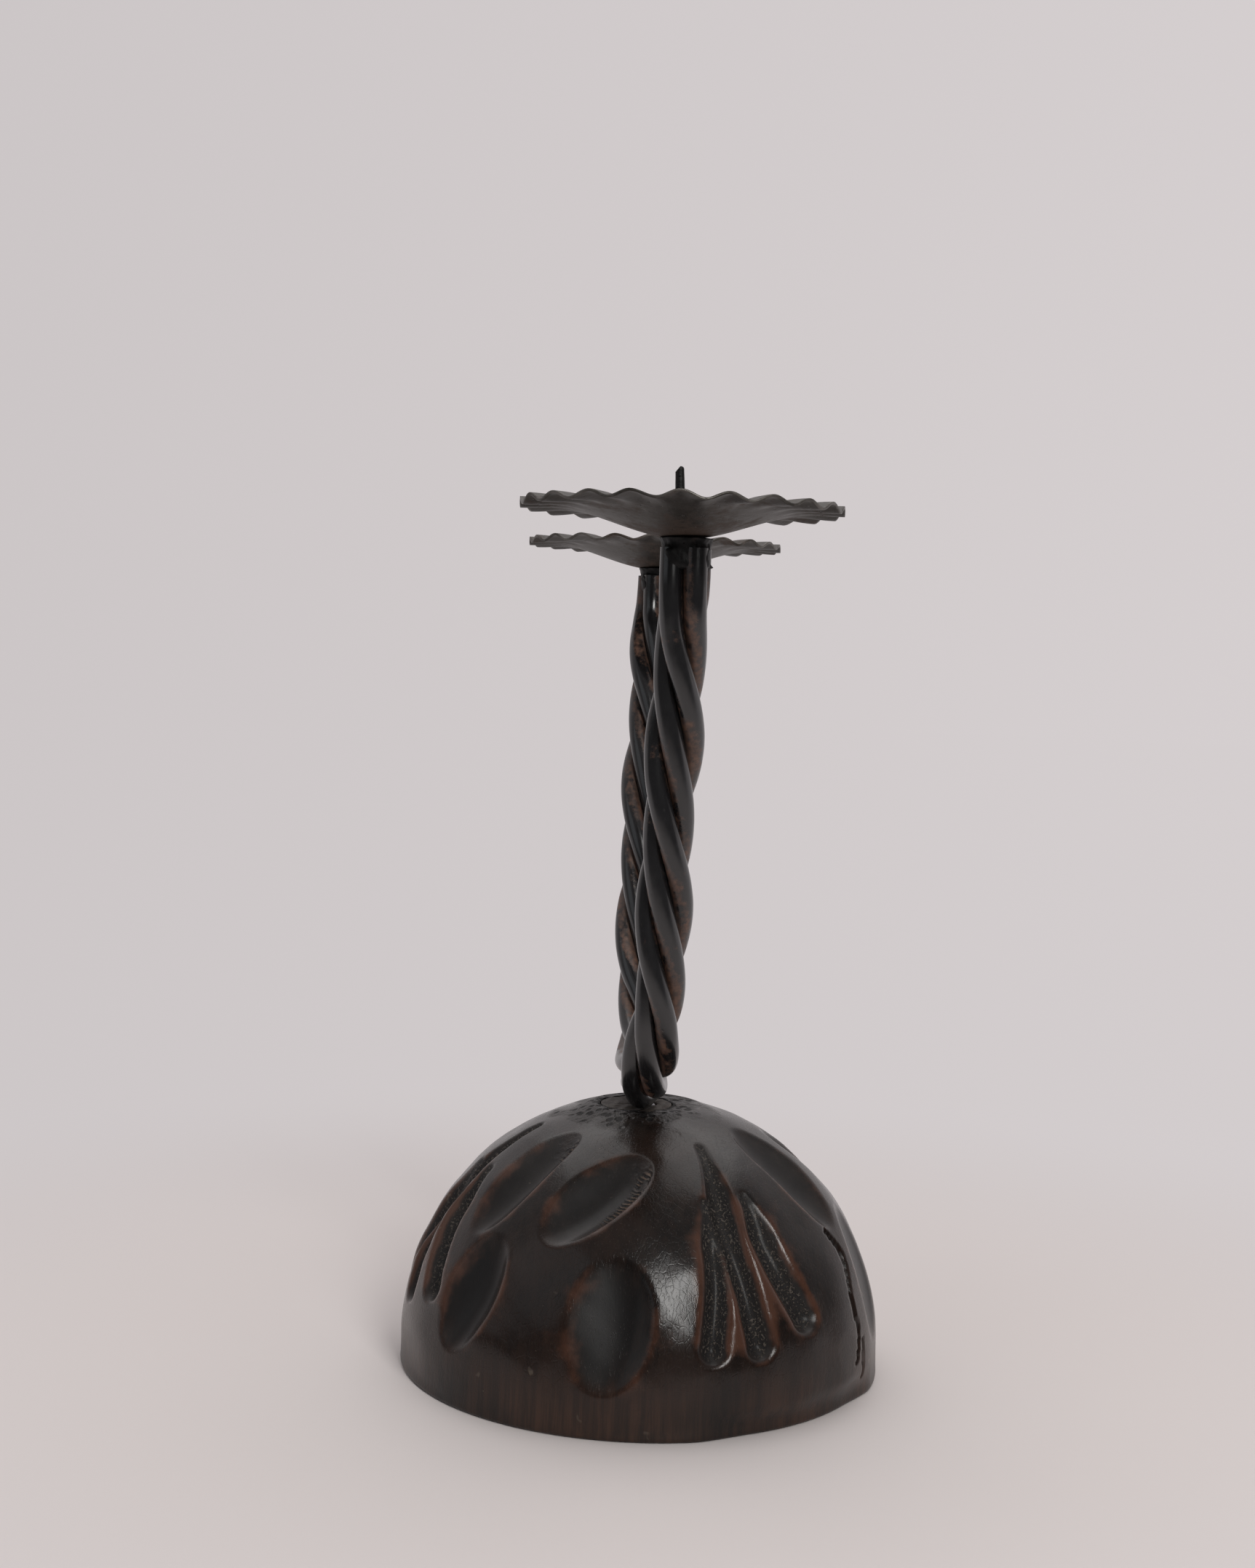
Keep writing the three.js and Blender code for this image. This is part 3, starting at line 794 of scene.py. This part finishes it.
def crack_cut(points):
    """Drying checks: narrow, ragged splits that follow the grain."""
    depth = np.zeros(points.shape[:-1])
    for crack in CRACKS:
        gap, part = along_route(points, crack["route"], 20)
        stations = np.linspace(0, 1, len(crack["width"]))
        half = np.interp(part, stations, crack["width"]) + 0.35
        cut = crack["depth"] * smoothstep(1.0, 0.2, gap / half) * (part > 0) * (part < 1)
        depth = np.maximum(depth, cut)
    return depth


def blurred(field, passes):
    """A few box blurs round and up the dome."""
    for _ in range(passes):
        padded = np.pad(field, ((1, 1), (0, 0)), mode="edge")
        field = (padded[:-2] + padded[1:-1] + padded[2:]) / 3
        field = (np.roll(field, 1, 1) + field + np.roll(field, -1, 1)) / 3
    return field


def hand_work(skin, hollow):
    """Uneven scraping between the cuts, fading out at the foot and at the top."""
    foot = smoothstep(0.0, 4.0, skin[..., 2])
    top = smoothstep(24.0, 16.0, np.hypot(skin[..., 0], skin[..., 1]))
    uneven = 0.3 + 0.38 * ripple(skin, 24.0, 5) + 0.06 * ripple(skin, 7.0, 6)
    return np.clip(uneven, 0, None) * foot * (1 - top) * (1 - 0.85 * hollow)


def chipped_foot(skin):
    """A long shallow chip out of the lower edge, on one side only."""
    turn = np.arctan2(skin[..., 1], skin[..., 0]) - CHIP_AZIMUTH
    return CHIP_DEPTH * smoothstep(10.0, 2.0, skin[..., 2]) * smoothstep(0.86, 0.97, np.cos(turn))


def store_marks(piece, points, marks, crack):
    """What the wood's finish reads: where it is raised, hollow, torn or split."""
    shaped = blurred(marks["depth"], 1)
    edge = np.clip((blurred(shaped, 5) - shaped) * 1.5, 0, 1)
    shoulder = np.clip((blurred(shaped, 30) - shaped) * 0.55, 0, 1)
    # raised takes in the painted light on the ovals' left walls as well as the rubbed edges and shoulders.
    raised = np.clip(edge * 0.4 + shoulder * 1.05 + blurred(marks["warm"], 3) * 0.42, 0, 1)
    masks = {name: marks[name] for name in ("hollow", "trough", "ticks", "run", "rough_cut")}
    masks.update(raised=raised, crack=smoothstep(0.25, 1.2, crack))
    underneath = ((0, len(points) - len(shaped)), (0, 0))
    masks = {name: np.pad(mask, underneath) for name, mask in masks.items()}

    on_top = points[..., 2] > TOP_ZONE
    from_plug = np.hypot(points[..., 0] - PLUG_MIDDLE[0], points[..., 1] - PLUG_MIDDLE[1])
    chatter = on_top * smoothstep(27.0, 17.0, from_plug + 5 * ripple(points, 9.0, 3))
    joint = on_top * smoothstep(1.3, 0.4, np.abs(from_plug - PLUG_RADIUS - 0.4))
    masks["rough_cut"] = np.maximum(masks["rough_cut"], chatter)
    masks["crack"] = np.maximum(masks["crack"], joint)
    for name, mask in masks.items():
        store(piece, name, mask)


def make_base():
    """The dome: carved, scraped and cracked outside, with a roughly worked flat top."""
    rings, outer = base_rings()
    points = ring_points(rings, DOME_STEPS)
    skin = points[:outer]
    marks, crack = carve(skin), crack_cut(skin)
    inward = blurred(marks["depth"], 1) + crack + hand_work(skin, marks["hollow"]) + chipped_foot(skin)
    points[:outer] = skin - dome_normal(skin) * inward[..., None]
    plateau = slice(outer - 1, outer + TOP_RINGS)
    points[plateau, :, 2] -= np.clip(0.24 + 0.24 * ripple(points[plateau], 3.2, 11), 0, None)
    piece = grid_mesh("carved_base", points, close_rings=True)
    store_marks(piece, points, marks, crack)
    finish_piece(piece, ["base_dome"], STAINED_WOOD)


def make_plug():
    """The round plug: a dry, slightly sunken disc of end grain, bored for the stud."""
    low, high = PLUG_LOW[2], PLUG_HIGH[2]
    rings = [(*PLUG_MIDDLE, PLUG_RADIUS, low), (*PLUG_MIDDLE, PLUG_RADIUS, high - 0.7),
             (*PLUG_MIDDLE, PLUG_RADIUS - 0.15, high - 0.25)]
    face = slice(len(rings), len(rings) + PLUG_FACE_RINGS)
    for t in np.linspace(0, 1, PLUG_FACE_RINGS):
        radius = (PLUG_RADIUS - 0.4) * (1 - t) + STUD_BORE * t
        rings.append((*PLUG_MIDDLE * (1 - t), radius, high - 0.02))
    rings += [(0, 0, STUD_BORE, high - 1), (0, 0, STUD_BORE, low)]
    points = ring_points(rings, PLUG_STEPS)
    points[face, :, 2] -= np.clip(0.2 + 0.2 * ripple(points[face], 2.6, 21), 0, None)
    piece = grid_mesh("end_grain_plug", points, close_rings=True)
    finish_piece(piece, ["centre_plug"], END_GRAIN)


# ---------- Geometry Nodes ----------
def geometry_tree(name, inputs):
    """A geometry node group with named number inputs, and its two end nodes."""
    group = bpy.data.node_groups.new(name, "GeometryNodeTree")
    group.interface.new_socket("Geometry", in_out="INPUT", socket_type="NodeSocketGeometry")
    for label, default in inputs.items():
        whole = isinstance(default, int)
        kind = "NodeSocketInt" if whole else "NodeSocketFloat"
        socket = group.interface.new_socket(label, in_out="INPUT", socket_type=kind)
        socket.default_value = default
    group.interface.new_socket("Material", in_out="INPUT", socket_type="NodeSocketMaterial")
    group.interface.new_socket("Geometry", in_out="OUTPUT", socket_type="NodeSocketGeometry")
    tree = Tree(group)
    entry = group.nodes.new("NodeGroupInput")
    given = {socket.name: Wire(tree, socket) for socket in entry.outputs if socket.name}
    return group, tree, given


def end_tree(tree, geometry, given):
    """Realize Instances and Set Material, as the last two steps of every tree."""
    real = tree.add("GeometryNodeRealizeInstances", {0: geometry})
    dressed = tree.add("GeometryNodeSetMaterial", {"Geometry": real, "Material": given["Material"]})
    leave = tree.nodes.nodes.new("NodeGroupOutput")
    tree.feed(leave.inputs[0], dressed)


def keep_value(tree, geometry, name, value, kind="FLOAT"):
    return tree.add("GeometryNodeStoreNamedAttribute", {"Geometry": geometry, "Name": name, "Value": value},
                    data_type=kind, domain="POINT")


def grown(name, source, group, values, material, finishers=()):
    """Runs a tree on source, with any finishing modifiers, and keeps the plain mesh."""
    modifier = source.modifiers.new("grow", "NODES")
    modifier.node_group = group
    sockets = {s.name: s.identifier for s in group.interface.items_tree if s.in_out == "INPUT"}
    for label, value in values.items():
        modifier[sockets[label]] = value
    modifier[sockets["Material"]] = material
    for kind, settings in finishers:
        extra = source.modifiers.new(kind.lower(), kind)
        for label, value in settings.items():
            setattr(extra, label, value)
    evaluated = source.evaluated_get(bpy.context.evaluated_depsgraph_get())
    mesh = bpy.data.meshes.new_from_object(evaluated)
    mesh.name = name
    bpy.data.objects.remove(source)
    return link_mesh(name, mesh)


# ---------- rope of four rods ----------
def rope_middle():
    arms = {side: [(side * out, sway, BEND_HEIGHT + up) for (out, up), sway in zip(ARM_PROFILE, sways)]
            for side, sways in SWAY.items()}
    return catmull(arms[-1][::-1] + [(0, SWAY_AT_BEND, BEND_HEIGHT)] + arms[1], 24) * MM


def middle_curve():
    """The middle line of the rope as a poly curve object."""
    points = rope_middle()
    curve = bpy.data.curves.new("rope_middle", "CURVE")
    curve.dimensions = "3D"
    spline = curve.splines.new("POLY")
    spline.points.add(len(points) - 1)
    spline.points.foreach_set("co", np.column_stack([points, np.ones(len(points))]).ravel())
    piece = bpy.data.objects.new("rope_middle", curve)
    bpy.context.scene.collection.objects.link(piece)
    return piece


def twisted_rod_tree():
    """One rod: the rope's middle line, pushed out along a helix whose twist fades at the ends."""
    group, tree, given = geometry_tree("twisted_rod", {
        "Pitch": TWIST_PITCH * MM, "Fade": TWIST_FADE * MM, "Start": math.radians(START_ANGLE),
        "Packed Radius": LONG_RADIUS * MM, "Straight Radius": SQUARE_RADIUS * MM,
        "Rod Radius": ROD_RADIUS * MM, "Hammering": 0.00007, "Steps": 520, "Sides": 32})
    line = tree.add("GeometryNodeResampleCurve", {"Curve": given["Geometry"], "Count": given["Steps"]})
    length = tree.add("GeometryNodeCurveLength", {0: line})
    along = tree.add("GeometryNodeSplineParameter", output="Length") - length * 0.5
    from_end = length * 0.5 - tree.math("ABSOLUTE", along)

    def twisted(stretch):
        x = tree.math("MAXIMUM", stretch / given["Fade"], 0.0)
        ramp = tree.math("MINIMUM", x, 1.0)
        early = tree.math("POWER", ramp, 3.0) - tree.math("POWER", ramp, 4.0) * 0.5
        return given["Fade"] * (early + tree.math("MAXIMUM", x - 1.0, 0.0))

    turn = (twisted(length * 0.5) - twisted(from_end)) * tree.math("SIGN", along) / given["Pitch"]
    angle = given["Start"] - turn * (2 * math.pi)
    packed = tree.smooth(from_end / given["Fade"], 0.0, 1.0)
    radius = tree.mix_values(packed, given["Straight Radius"], given["Packed Radius"])
    tangent = tree.add("GeometryNodeInputTangent")
    normal = tree.vector("NORMALIZE", tree.vector("CROSS_PRODUCT", tangent, (0.0, 1.0, 0.0)))
    side = tree.vector("CROSS_PRODUCT", normal, tangent)
    outward = tree.vector("ADD", tree.vector("SCALE", side, scale=tree.math("COSINE", angle)),
                          tree.vector("SCALE", normal, scale=tree.math("SINE", angle)))
    sideways = tree.vector("CROSS_PRODUCT", tangent, outward)
    marked = keep_value(tree, line, "outward", outward, "FLOAT_VECTOR")
    marked = keep_value(tree, marked, "sideways", sideways, "FLOAT_VECTOR")
    bundle = tree.add("GeometryNodeSetPosition", {
        "Geometry": marked, "Offset": tree.vector("SCALE", outward, scale=radius)})
    section = tree.add("GeometryNodeCurvePrimitiveCircle", {
        "Resolution": given["Sides"], "Radius": given["Rod Radius"]})
    rod = tree.add("GeometryNodeCurveToMesh", {"Curve": bundle, "Profile Curve": section, "Fill Caps": True})
    face = tree.add("GeometryNodeInputNormal")
    dents = tree.noise(tree.add("GeometryNodeInputPosition"), 95.0, 2.0, 0.5) - 0.5
    rod = tree.add("GeometryNodeSetPosition", {
        "Geometry": rod, "Offset": tree.vector("SCALE", face, scale=dents * given["Hammering"] * 2.0)})

    def named(label):
        return tree.add("GeometryNodeInputNamedAttribute", {"Name": label}, data_type="FLOAT_VECTOR")

    buried = tree.vector("DOT_PRODUCT", face, named("outward"), output=1) * -1.0
    rod = keep_value(tree, rod, "buried", buried)
    rod = keep_value(tree, rod, "flank", tree.vector("DOT_PRODUCT", face, named("sideways"), output=1))
    end_tree(tree, rod, given)
    return group


def make_rods():
    tree = twisted_rod_tree()
    for index in range(ROD_COUNT):
        values = {
            "Start": math.radians(START_ANGLE + 360 / ROD_COUNT * index),
            "Packed Radius": (SHORT_RADIUS if index % 2 else LONG_RADIUS) * MM,
            "Straight Radius": SQUARE_RADIUS * MM,
        }
        piece = grown(f"twisted_rod_{index + 1}", middle_curve(), tree, values, FORGED_IRON)
        finish_piece(piece, [f"iron_rod_{index + 1}"], FORGED_IRON)


# ---------- drip pans ----------
def fluted_pan_tree():
    """A dished round sheet whose rim is crimped into radial flutes, none quite alike."""
    group, tree, given = geometry_tree("fluted_pan", {
        "Radius": PAN["radius"] * MM, "Hole": PAN["hole"] * MM, "Depth": PAN["depth"] * MM,
        "Dish": PAN["dish"], "Flutes": PAN["flutes"], "Flute Height": PAN["flute_height"] * MM,
        "Flute Start": PAN["flute_start"] * MM, "Flute Run": PAN["flute_run"] * MM, "Crest": PAN["crest"],
        "Centre X": 0.0, "Bottom": PAN["bottom"] * MM, "Unevenness": 0.42, "Seed": 1.0,
        "Steps": 397, "Rings": 62})
    sheet = tree.nodes.nodes.new("GeometryNodeMeshGrid")
    for label in ("Size X", "Size Y"):
        sheet.inputs[label].default_value = 1.0
    tree.feed(sheet.inputs["Vertices X"], given["Steps"])
    tree.feed(sheet.inputs["Vertices Y"], given["Rings"])
    u, v, _ = tree.separate(tree.add("GeometryNodeInputPosition"))
    angle = (u + 0.5) * (2 * math.pi)
    radius = given["Hole"] + (given["Radius"] - given["Hole"]) * tree.math("POWER", v + 0.5, 0.85)
    around = tree.combine(tree.math("COSINE", angle), tree.math("SINE", angle), given["Seed"])
    uneven = (tree.noise(around, 2.6, 3.0, 0.6) - 0.5) * given["Unevenness"] * 2.0
    shift = (tree.noise(around, 1.7, 2.0, 0.5) - 0.5) * given["Unevenness"] * 1.6
    wave = tree.math("COSINE", (angle - given["Crest"]) * given["Flutes"] + shift * 2.0)
    growth = tree.smooth((radius - given["Flute Start"]) / given["Flute Run"], 0.0, 1.0)
    flute = given["Flute Height"] * growth * wave * (uneven + 0.9)
    dish = given["Depth"] * tree.smooth(radius / given["Radius"] / given["Dish"], 0.0, 1.0)
    warp = (tree.noise(around, 0.9, 1.0, 0.5) - 0.5) * growth * 0.0008
    height = given["Bottom"] + dish + flute + warp
    place = tree.combine(given["Centre X"] + radius * tree.math("COSINE", angle),
                         radius * tree.math("SINE", angle), height)
    rim = tree.smooth(radius / given["Radius"], 0.965, 1.0)
    marked = keep_value(tree, Wire(tree, sheet.outputs[0]), "rim", rim)
    marked = keep_value(tree, marked, "centre", tree.smooth(radius / given["Radius"], 0.5, 0.12))
    marked = keep_value(tree, marked, "crest", wave * growth)
    bent = tree.add("GeometryNodeSetPosition", {"Geometry": marked, "Position": place})
    closed = tree.add("GeometryNodeMergeByDistance", {"Geometry": bent, "Distance": 0.000004})
    end_tree(tree, closed, given)
    return group


def make_pans():
    tree = fluted_pan_tree()
    for label, side in ARMS.items():
        low, high = box_mm(f"drip_pan_{label}")
        values = {"Centre X": float((low + high)[0] / 2 * MM), "Seed": 1.0 + 3.7 * (side < 0)}
        shell = ("SOLIDIFY", {"thickness": PAN["sheet"] * MM, "offset": -1.0, "use_even_offset": True})
        source = link_mesh("pan_seed", bpy.data.meshes.new("pan_seed"))
        piece = grown(f"crimped_pan_{label}", source, tree, values, PAN_IRON, [shell])
        face_outwards(piece)
        finish_piece(piece, [f"drip_pan_{label}"], PAN_IRON)


# ---------- collars and spikes ----------
def pan_underside(radius):
    t = np.clip(radius / (PAN["radius"] * PAN["dish"]), 0, 1)
    return PAN["bottom"] - PAN["sheet"] + PAN["depth"] * t * t * (3 - 2 * t)


def weld_outline(bottom):
    """[radius, height] of the weld: rounded below, spreading under the pan in a fillet."""
    outline = [(3.0, bottom - 0.6), (5.2, bottom - 0.2), (6.3, bottom + 0.6)]
    start = bottom + 1.6
    for t in np.linspace(0, 1, 20):
        radius = 6.5 + 1.1 * t ** 3
        outline.append((radius, start + (pan_underside(radius) + 0.15 - start) * t ** 0.8))
    return outline + [(3.0, pan_underside(3.0) + 0.3)]


def make_collars():
    """The welded necks: squarish and lumpy between the rods, with one hanging drip."""
    for label, side in ARMS.items():
        low, high = box_mm(f"pan_collar_{label}")
        middle = (low + high)[:2] / 2
        points = turned_points(weld_outline(low[2]), middle, COLLAR_STEPS)
        angle = np.arctan2(points[..., 1] - middle[1], points[..., 0] - middle[0])
        fourfold = (np.cos(angle) ** 4 + np.sin(angle) ** 4) ** -0.25 - 1.0
        squareness = 1 + fourfold * smoothstep(high[2] + 0.2, high[2] - 2.5, points[..., 2])
        points[..., :2] = middle + (points[..., :2] - middle) * squareness[..., None]
        drip = np.exp(-((angle - math.pi / 2) / 0.16) ** 2 - ((points[..., 2] - low[2] - 0.6) / 0.8) ** 2)
        points[..., 1] += 1.5 * drip
        lumps = 0.26 * ripple(points, 5.0, 31 + side) + 0.14 * ripple(points, 2.0, 41 + side)
        out = points[..., :2] - middle
        out /= np.linalg.norm(out, axis=-1, keepdims=True)
        points[..., :2] += out * lumps[..., None]
        points[..., 2] = np.minimum(points[..., 2], pan_underside(7.6) + 0.15)
        piece = grid_mesh(f"weld_collar_{label}", points, cap_ends=True)
        finish_piece(piece, [f"pan_collar_{label}"], WELD_IRON)


def make_prickets():
    """Hand-drawn spikes, thinner upwards and leaning a little, with a skew-cut tip."""
    for label, side in ARMS.items():
        low, high = box_mm(f"pricket_{label}")
        pan_low, pan_high = box_mm(f"drip_pan_{label}")
        middle = (pan_low + pan_high)[:2] / 2
        share = np.concatenate([np.linspace(0, 0.93, 40), np.linspace(0.94, 1, 8)])
        radii = SPIKE_RADIUS - SPIKE_TAPER * share
        radii[-len(SPIKE_TIP):] *= SPIKE_TIP
        outline = np.column_stack([radii, low[2] + share * (high[2] - low[2])])
        points = turned_points(outline, middle, SPIKE_STEPS)
        points[..., :2] += 0.05 * ripple(points, 5.0, 51 + side)[..., None]
        skew = (points[..., 1] - middle[1]) * 1.2 + high[2] - 0.15
        points[..., 2] = np.minimum(points[..., 2], np.maximum(skew, high[2] - 1.6))
        points[..., 1] -= SPIKE_LEAN * (points[..., 2] - low[2])
        piece = grid_mesh(f"spike_{label}", points, cap_ends=True)
        finish_piece(piece, [f"pricket_{label}"], WELD_IRON)


# ---------- fastening ----------
THREAD_PITCH = 1.0
THREAD_DEPTH = 0.42
THREAD_ABOVE_SEAT = 8.0
STUD_STEPS, WASHER_STEPS, NUT_STEPS = 40, 72, 96


def thread_tree():
    """A V thread: one helix with a three-sided section round a plain core."""
    group, tree, given = geometry_tree("screw_thread", {
        "Core Radius": 0.0025, "Crest Radius": 0.003, "Bottom": 0.0, "Length": 0.02,
        "Pitch": THREAD_PITCH * MM})
    turns = given["Length"] / given["Pitch"]
    middle_radius = given["Core Radius"] * 0.5 + given["Crest Radius"] * 0.5
    helix = tree.add("GeometryNodeCurveSpiral", {
        "Resolution": 28, "Rotations": turns, "Start Radius": middle_radius, "End Radius": middle_radius,
        "Height": given["Length"]})
    section = tree.add("GeometryNodeCurvePrimitiveCircle", {
        "Resolution": 6, "Radius": (given["Crest Radius"] - given["Core Radius"]) * 0.62})
    ridge = tree.add("GeometryNodeCurveToMesh", {"Curve": helix, "Profile Curve": section, "Fill Caps": True})
    lifted = tree.add("GeometryNodeTransform", {
        "Geometry": ridge, "Translation": tree.combine(0.0, 0.0, given["Bottom"])})
    joined = tree.nodes.nodes.new("GeometryNodeJoinGeometry")
    tree.feed(joined.inputs[0], lifted)
    tree.feed(joined.inputs[0], given["Geometry"])
    end_tree(tree, Wire(tree, joined.outputs[0]), given)
    return group


def make_stud():
    low, high = STUD_LOW[2], STUD_HIGH[2]
    core = STUD_RADIUS - THREAD_DEPTH
    thread_top = COUNTERBORE_DEPTH + THREAD_ABOVE_SEAT
    outline = [(core - 0.7, low), (core, low + 0.7)]
    outline += [(core, z) for z in np.linspace(low + 2, thread_top, 8)]
    outline += [(STUD_RADIUS, thread_top + 0.6), (STUD_RADIUS, high - 1.0), (STUD_RADIUS - 0.4, high)]
    blank = grid_mesh("stud_blank", turned_points(outline, (0, 0), STUD_STEPS), cap_ends=True)
    values = {"Core Radius": core * MM, "Crest Radius": STUD_RADIUS * MM, "Bottom": (low + 0.9) * MM,
              "Length": (thread_top - low - 1.0) * MM}
    stud = grown("threaded_stud", blank, thread_tree(), values, ZINC_STEEL)
    finish_piece(stud, ["centre_stud"], ZINC_STEEL)


def make_washer():
    bottom, top = WASHER_LOW[2], WASHER_HIGH[2]
    radius = (WASHER_HIGH[0] - WASHER_LOW[0]) / 2
    outline = [(STUD_BORE, bottom + 0.2), (STUD_BORE + 0.2, bottom), (radius - 0.35, bottom),
               (radius, bottom + 0.35), (radius, top - 0.2), (radius - 0.2, top), (STUD_BORE + 0.2, top),
               (STUD_BORE, top - 0.2)]
    washer = grid_mesh("plain_washer", turned_points(outline, (0, 0), WASHER_STEPS), close_rings=True)
    finish_piece(washer, ["stud_washer"], ZINC_STEEL, smooth=False)


def make_nut():
    """A hexagon whose corners are rounded off at both ends by a shallow cone."""
    bottom, top = NUT_LOW[2], NUT_HIGH[2]
    flats = (NUT_HIGH[0] - NUT_LOW[0]) / 2 * math.cos(math.pi / 6)
    bore, uncut = STUD_RADIUS + 0.05, 99.0
    angles = np.linspace(0, 2 * math.pi, NUT_STEPS, endpoint=False)
    hexagon = flats / np.cos((angles % (math.pi / 3)) - math.pi / 6)
    stations = [
        (bottom + 0.5, bore), (bottom, bore + 0.5), (bottom, flats - 0.25), (bottom + 0.3, flats + 0.35),
        (bottom + 0.9, uncut), (top - 0.9, uncut), (top - 0.3, flats + 0.35), (top, flats - 0.25),
        (top, bore + 0.5), (top - 0.5, bore)]
    radius = np.array([np.minimum(hexagon, limit) for _, limit in stations])
    heights = np.array([[height] * NUT_STEPS for height, _ in stations])
    points = np.stack([radius * np.cos(angles), radius * np.sin(angles), heights], -1)
    nut = grid_mesh("hexagon_nut", points, close_rings=True)
    finish_piece(nut, ["stud_nut"], ZINC_STEEL, smooth=False)


# ---------- camera, floor and light ----------
EYE = Vector((0.6702, -0.0317, 0.2214))
EYE_HEADING = math.radians(178.12)
EYE_DIP = 0.0522
EYE_ROLL = 0.0346
EYE_LENS = 48.18
EYE_FILM = 36.0
PALE = (0.640, 0.600, 0.605)
CLOTH = (0.775, 0.725, 0.712)
ROOM_LEVEL = 0.985
# Painted shadow: the backdrop and the far floor are drawn darker towards -Y, standing in for the soft shadow
# the candlestick casts on that side.
PAINTED_SHADOW_SLOPE = 0.16        # brighter to one side
SLOPE_START = 1.2        # how gently that slope sets in on the floor, in metres
FRONT_SHADE = 0.82       # how little light the floor in front sends back
SHADOW_FLOOR = (0.13, 0.45)   # from the first to the second distance the floor turns plain
FLOOR_RADIUS = 9.0
AIM = Vector((0, 0, 0.12))
LIGHTS = [
    dict(name="window", azimuth=18, elevation=29, distance=1.7, size=(0.48, 0.76), power=13.4,
         colour=(1.0, 0.99, 0.97)),
    dict(name="side_wall", azimuth=-60, elevation=24, distance=1.8, size=(1.3, 1.2), power=1.9,
         colour=(0.90, 0.955, 1.0)),
    dict(name="ceiling", azimuth=178, elevation=70, distance=2.0, size=(2.2, 2.2), power=14.0,
         colour=(1.0, 0.985, 0.97)),
]


def make_camera():
    """The viewpoint, as a place, a heading, a dip and a small roll."""
    ahead = Vector((math.cos(EYE_DIP) * math.cos(EYE_HEADING), math.cos(EYE_DIP) * math.sin(EYE_HEADING),
                    -math.sin(EYE_DIP)))
    level = ahead.cross(Vector((0, 0, 1))).normalized()
    above = level.cross(ahead)
    right = level * math.cos(EYE_ROLL) + above * math.sin(EYE_ROLL)
    up = above * math.cos(EYE_ROLL) - level * math.sin(EYE_ROLL)
    data = bpy.data.cameras.new("eye")
    data.lens = EYE_LENS
    data.sensor_width = EYE_FILM
    data.clip_start = 0.01
    camera = bpy.data.objects.new("eye", data)
    turn = Matrix((right, up, -ahead)).transposed()
    camera.matrix_world = Matrix.Translation(EYE) @ turn.to_4x4()
    bpy.context.scene.collection.objects.link(camera)
    bpy.context.scene.camera = camera


def make_floor():
    """A pale floor that takes shadows near the candlestick and fades to a glowing sheet of the room's colour,
    with a painted shadow darker towards -Y.
    """
    material, tree = new_material("pale_floor")
    here = tree.here()
    weave = tree.noise(here, 900.0, 3.0, 0.6)
    bump = tree.add("ShaderNodeBump", {"Height": weave, "Distance": 0.00004})
    cloth = tree.add("ShaderNodeBsdfPrincipled", {
        "Base Color": rgba(CLOTH), "Roughness": 0.7, "Specular IOR Level": 0.2, "Normal": bump})
    reach = tree.vector("LENGTH", here, output=1)
    level = ROOM_LEVEL + tree.separate(here)[1] / (reach + SLOPE_START) * PAINTED_SHADOW_SLOPE
    in_front = tree.smooth(tree.separate(here)[0], 0.04, 0.30)
    seen = tree.add("ShaderNodeLightPath", output="Is Camera Ray")
    level = level * tree.mix_values(seen, 1.0 - in_front * FRONT_SHADE, 1.0)
    floor_glow = tree.add("ShaderNodeEmission", {"Color": rgba(PALE), "Strength": level})
    mixed = tree.add("ShaderNodeMixShader", {0: tree.smooth(reach, *SHADOW_FLOOR), 1: cloth, 2: floor_glow})
    output = tree.nodes.nodes.new("ShaderNodeOutputMaterial")
    tree.feed(output.inputs[0], mixed)
    bpy.ops.mesh.primitive_circle_add(vertices=128, radius=FLOOR_RADIUS, fill_type="TRIFAN")
    floor = bpy.context.object
    floor.name = "pale_floor"
    floor.data.materials.append(material)


def area_light(name, azimuth, elevation, distance, size, power, colour):
    """A soft rectangular light that faces the middle of the candlestick."""
    a, e = math.radians(azimuth), math.radians(elevation)
    towards = Vector((math.cos(a) * math.cos(e), math.sin(a) * math.cos(e), math.sin(e)))
    data = bpy.data.lights.new(name, "AREA")
    data.shape = "RECTANGLE"
    data.size, data.size_y = size
    data.energy = power
    data.color = colour
    light = bpy.data.objects.new(name, data)
    light.location = AIM + towards * distance
    light.rotation_euler = towards.to_track_quat("Z", "Y").to_euler()
    bpy.context.scene.collection.objects.link(light)


def make_room():
    """A pale room: seen plain but for a painted shadow darker towards -Y, while as light it is brighter above
    and behind than in front.
    """
    world = bpy.data.worlds.new("pale_room")
    bpy.context.scene.world = world
    world.use_nodes = True
    world.node_tree.nodes.clear()
    tree = Tree(world.node_tree)
    x, y, z = tree.separate(tree.add("ShaderNodeTexCoord", output="Generated"))
    overhead = tree.smooth(z, 0.1, 0.95, 0.0, 0.30)
    behind = tree.smooth(x, 0.45, -0.75, 0.0, 0.75)
    strength = 0.07 + overhead + behind
    seen = tree.add("ShaderNodeLightPath", output="Is Camera Ray")
    shade = tree.mix_values(seen, strength, ROOM_LEVEL + y * PAINTED_SHADOW_SLOPE)
    glow = tree.add("ShaderNodeBackground", {"Color": rgba(PALE), "Strength": shade})
    output = world.node_tree.nodes.new("ShaderNodeOutputWorld")
    tree.feed(output.inputs[0], glow)


def light_scene():
    make_room()
    for light in LIGHTS:
        area_light(**light)
    bpy.context.scene.view_settings.view_transform = "Standard"
    bpy.context.scene.view_settings.look = "None"


make_camera()
make_floor()
light_scene()
make_base()
make_plug()
make_rods()
make_pans()
make_collars()
make_prickets()
make_stud()
make_washer()
make_nut()
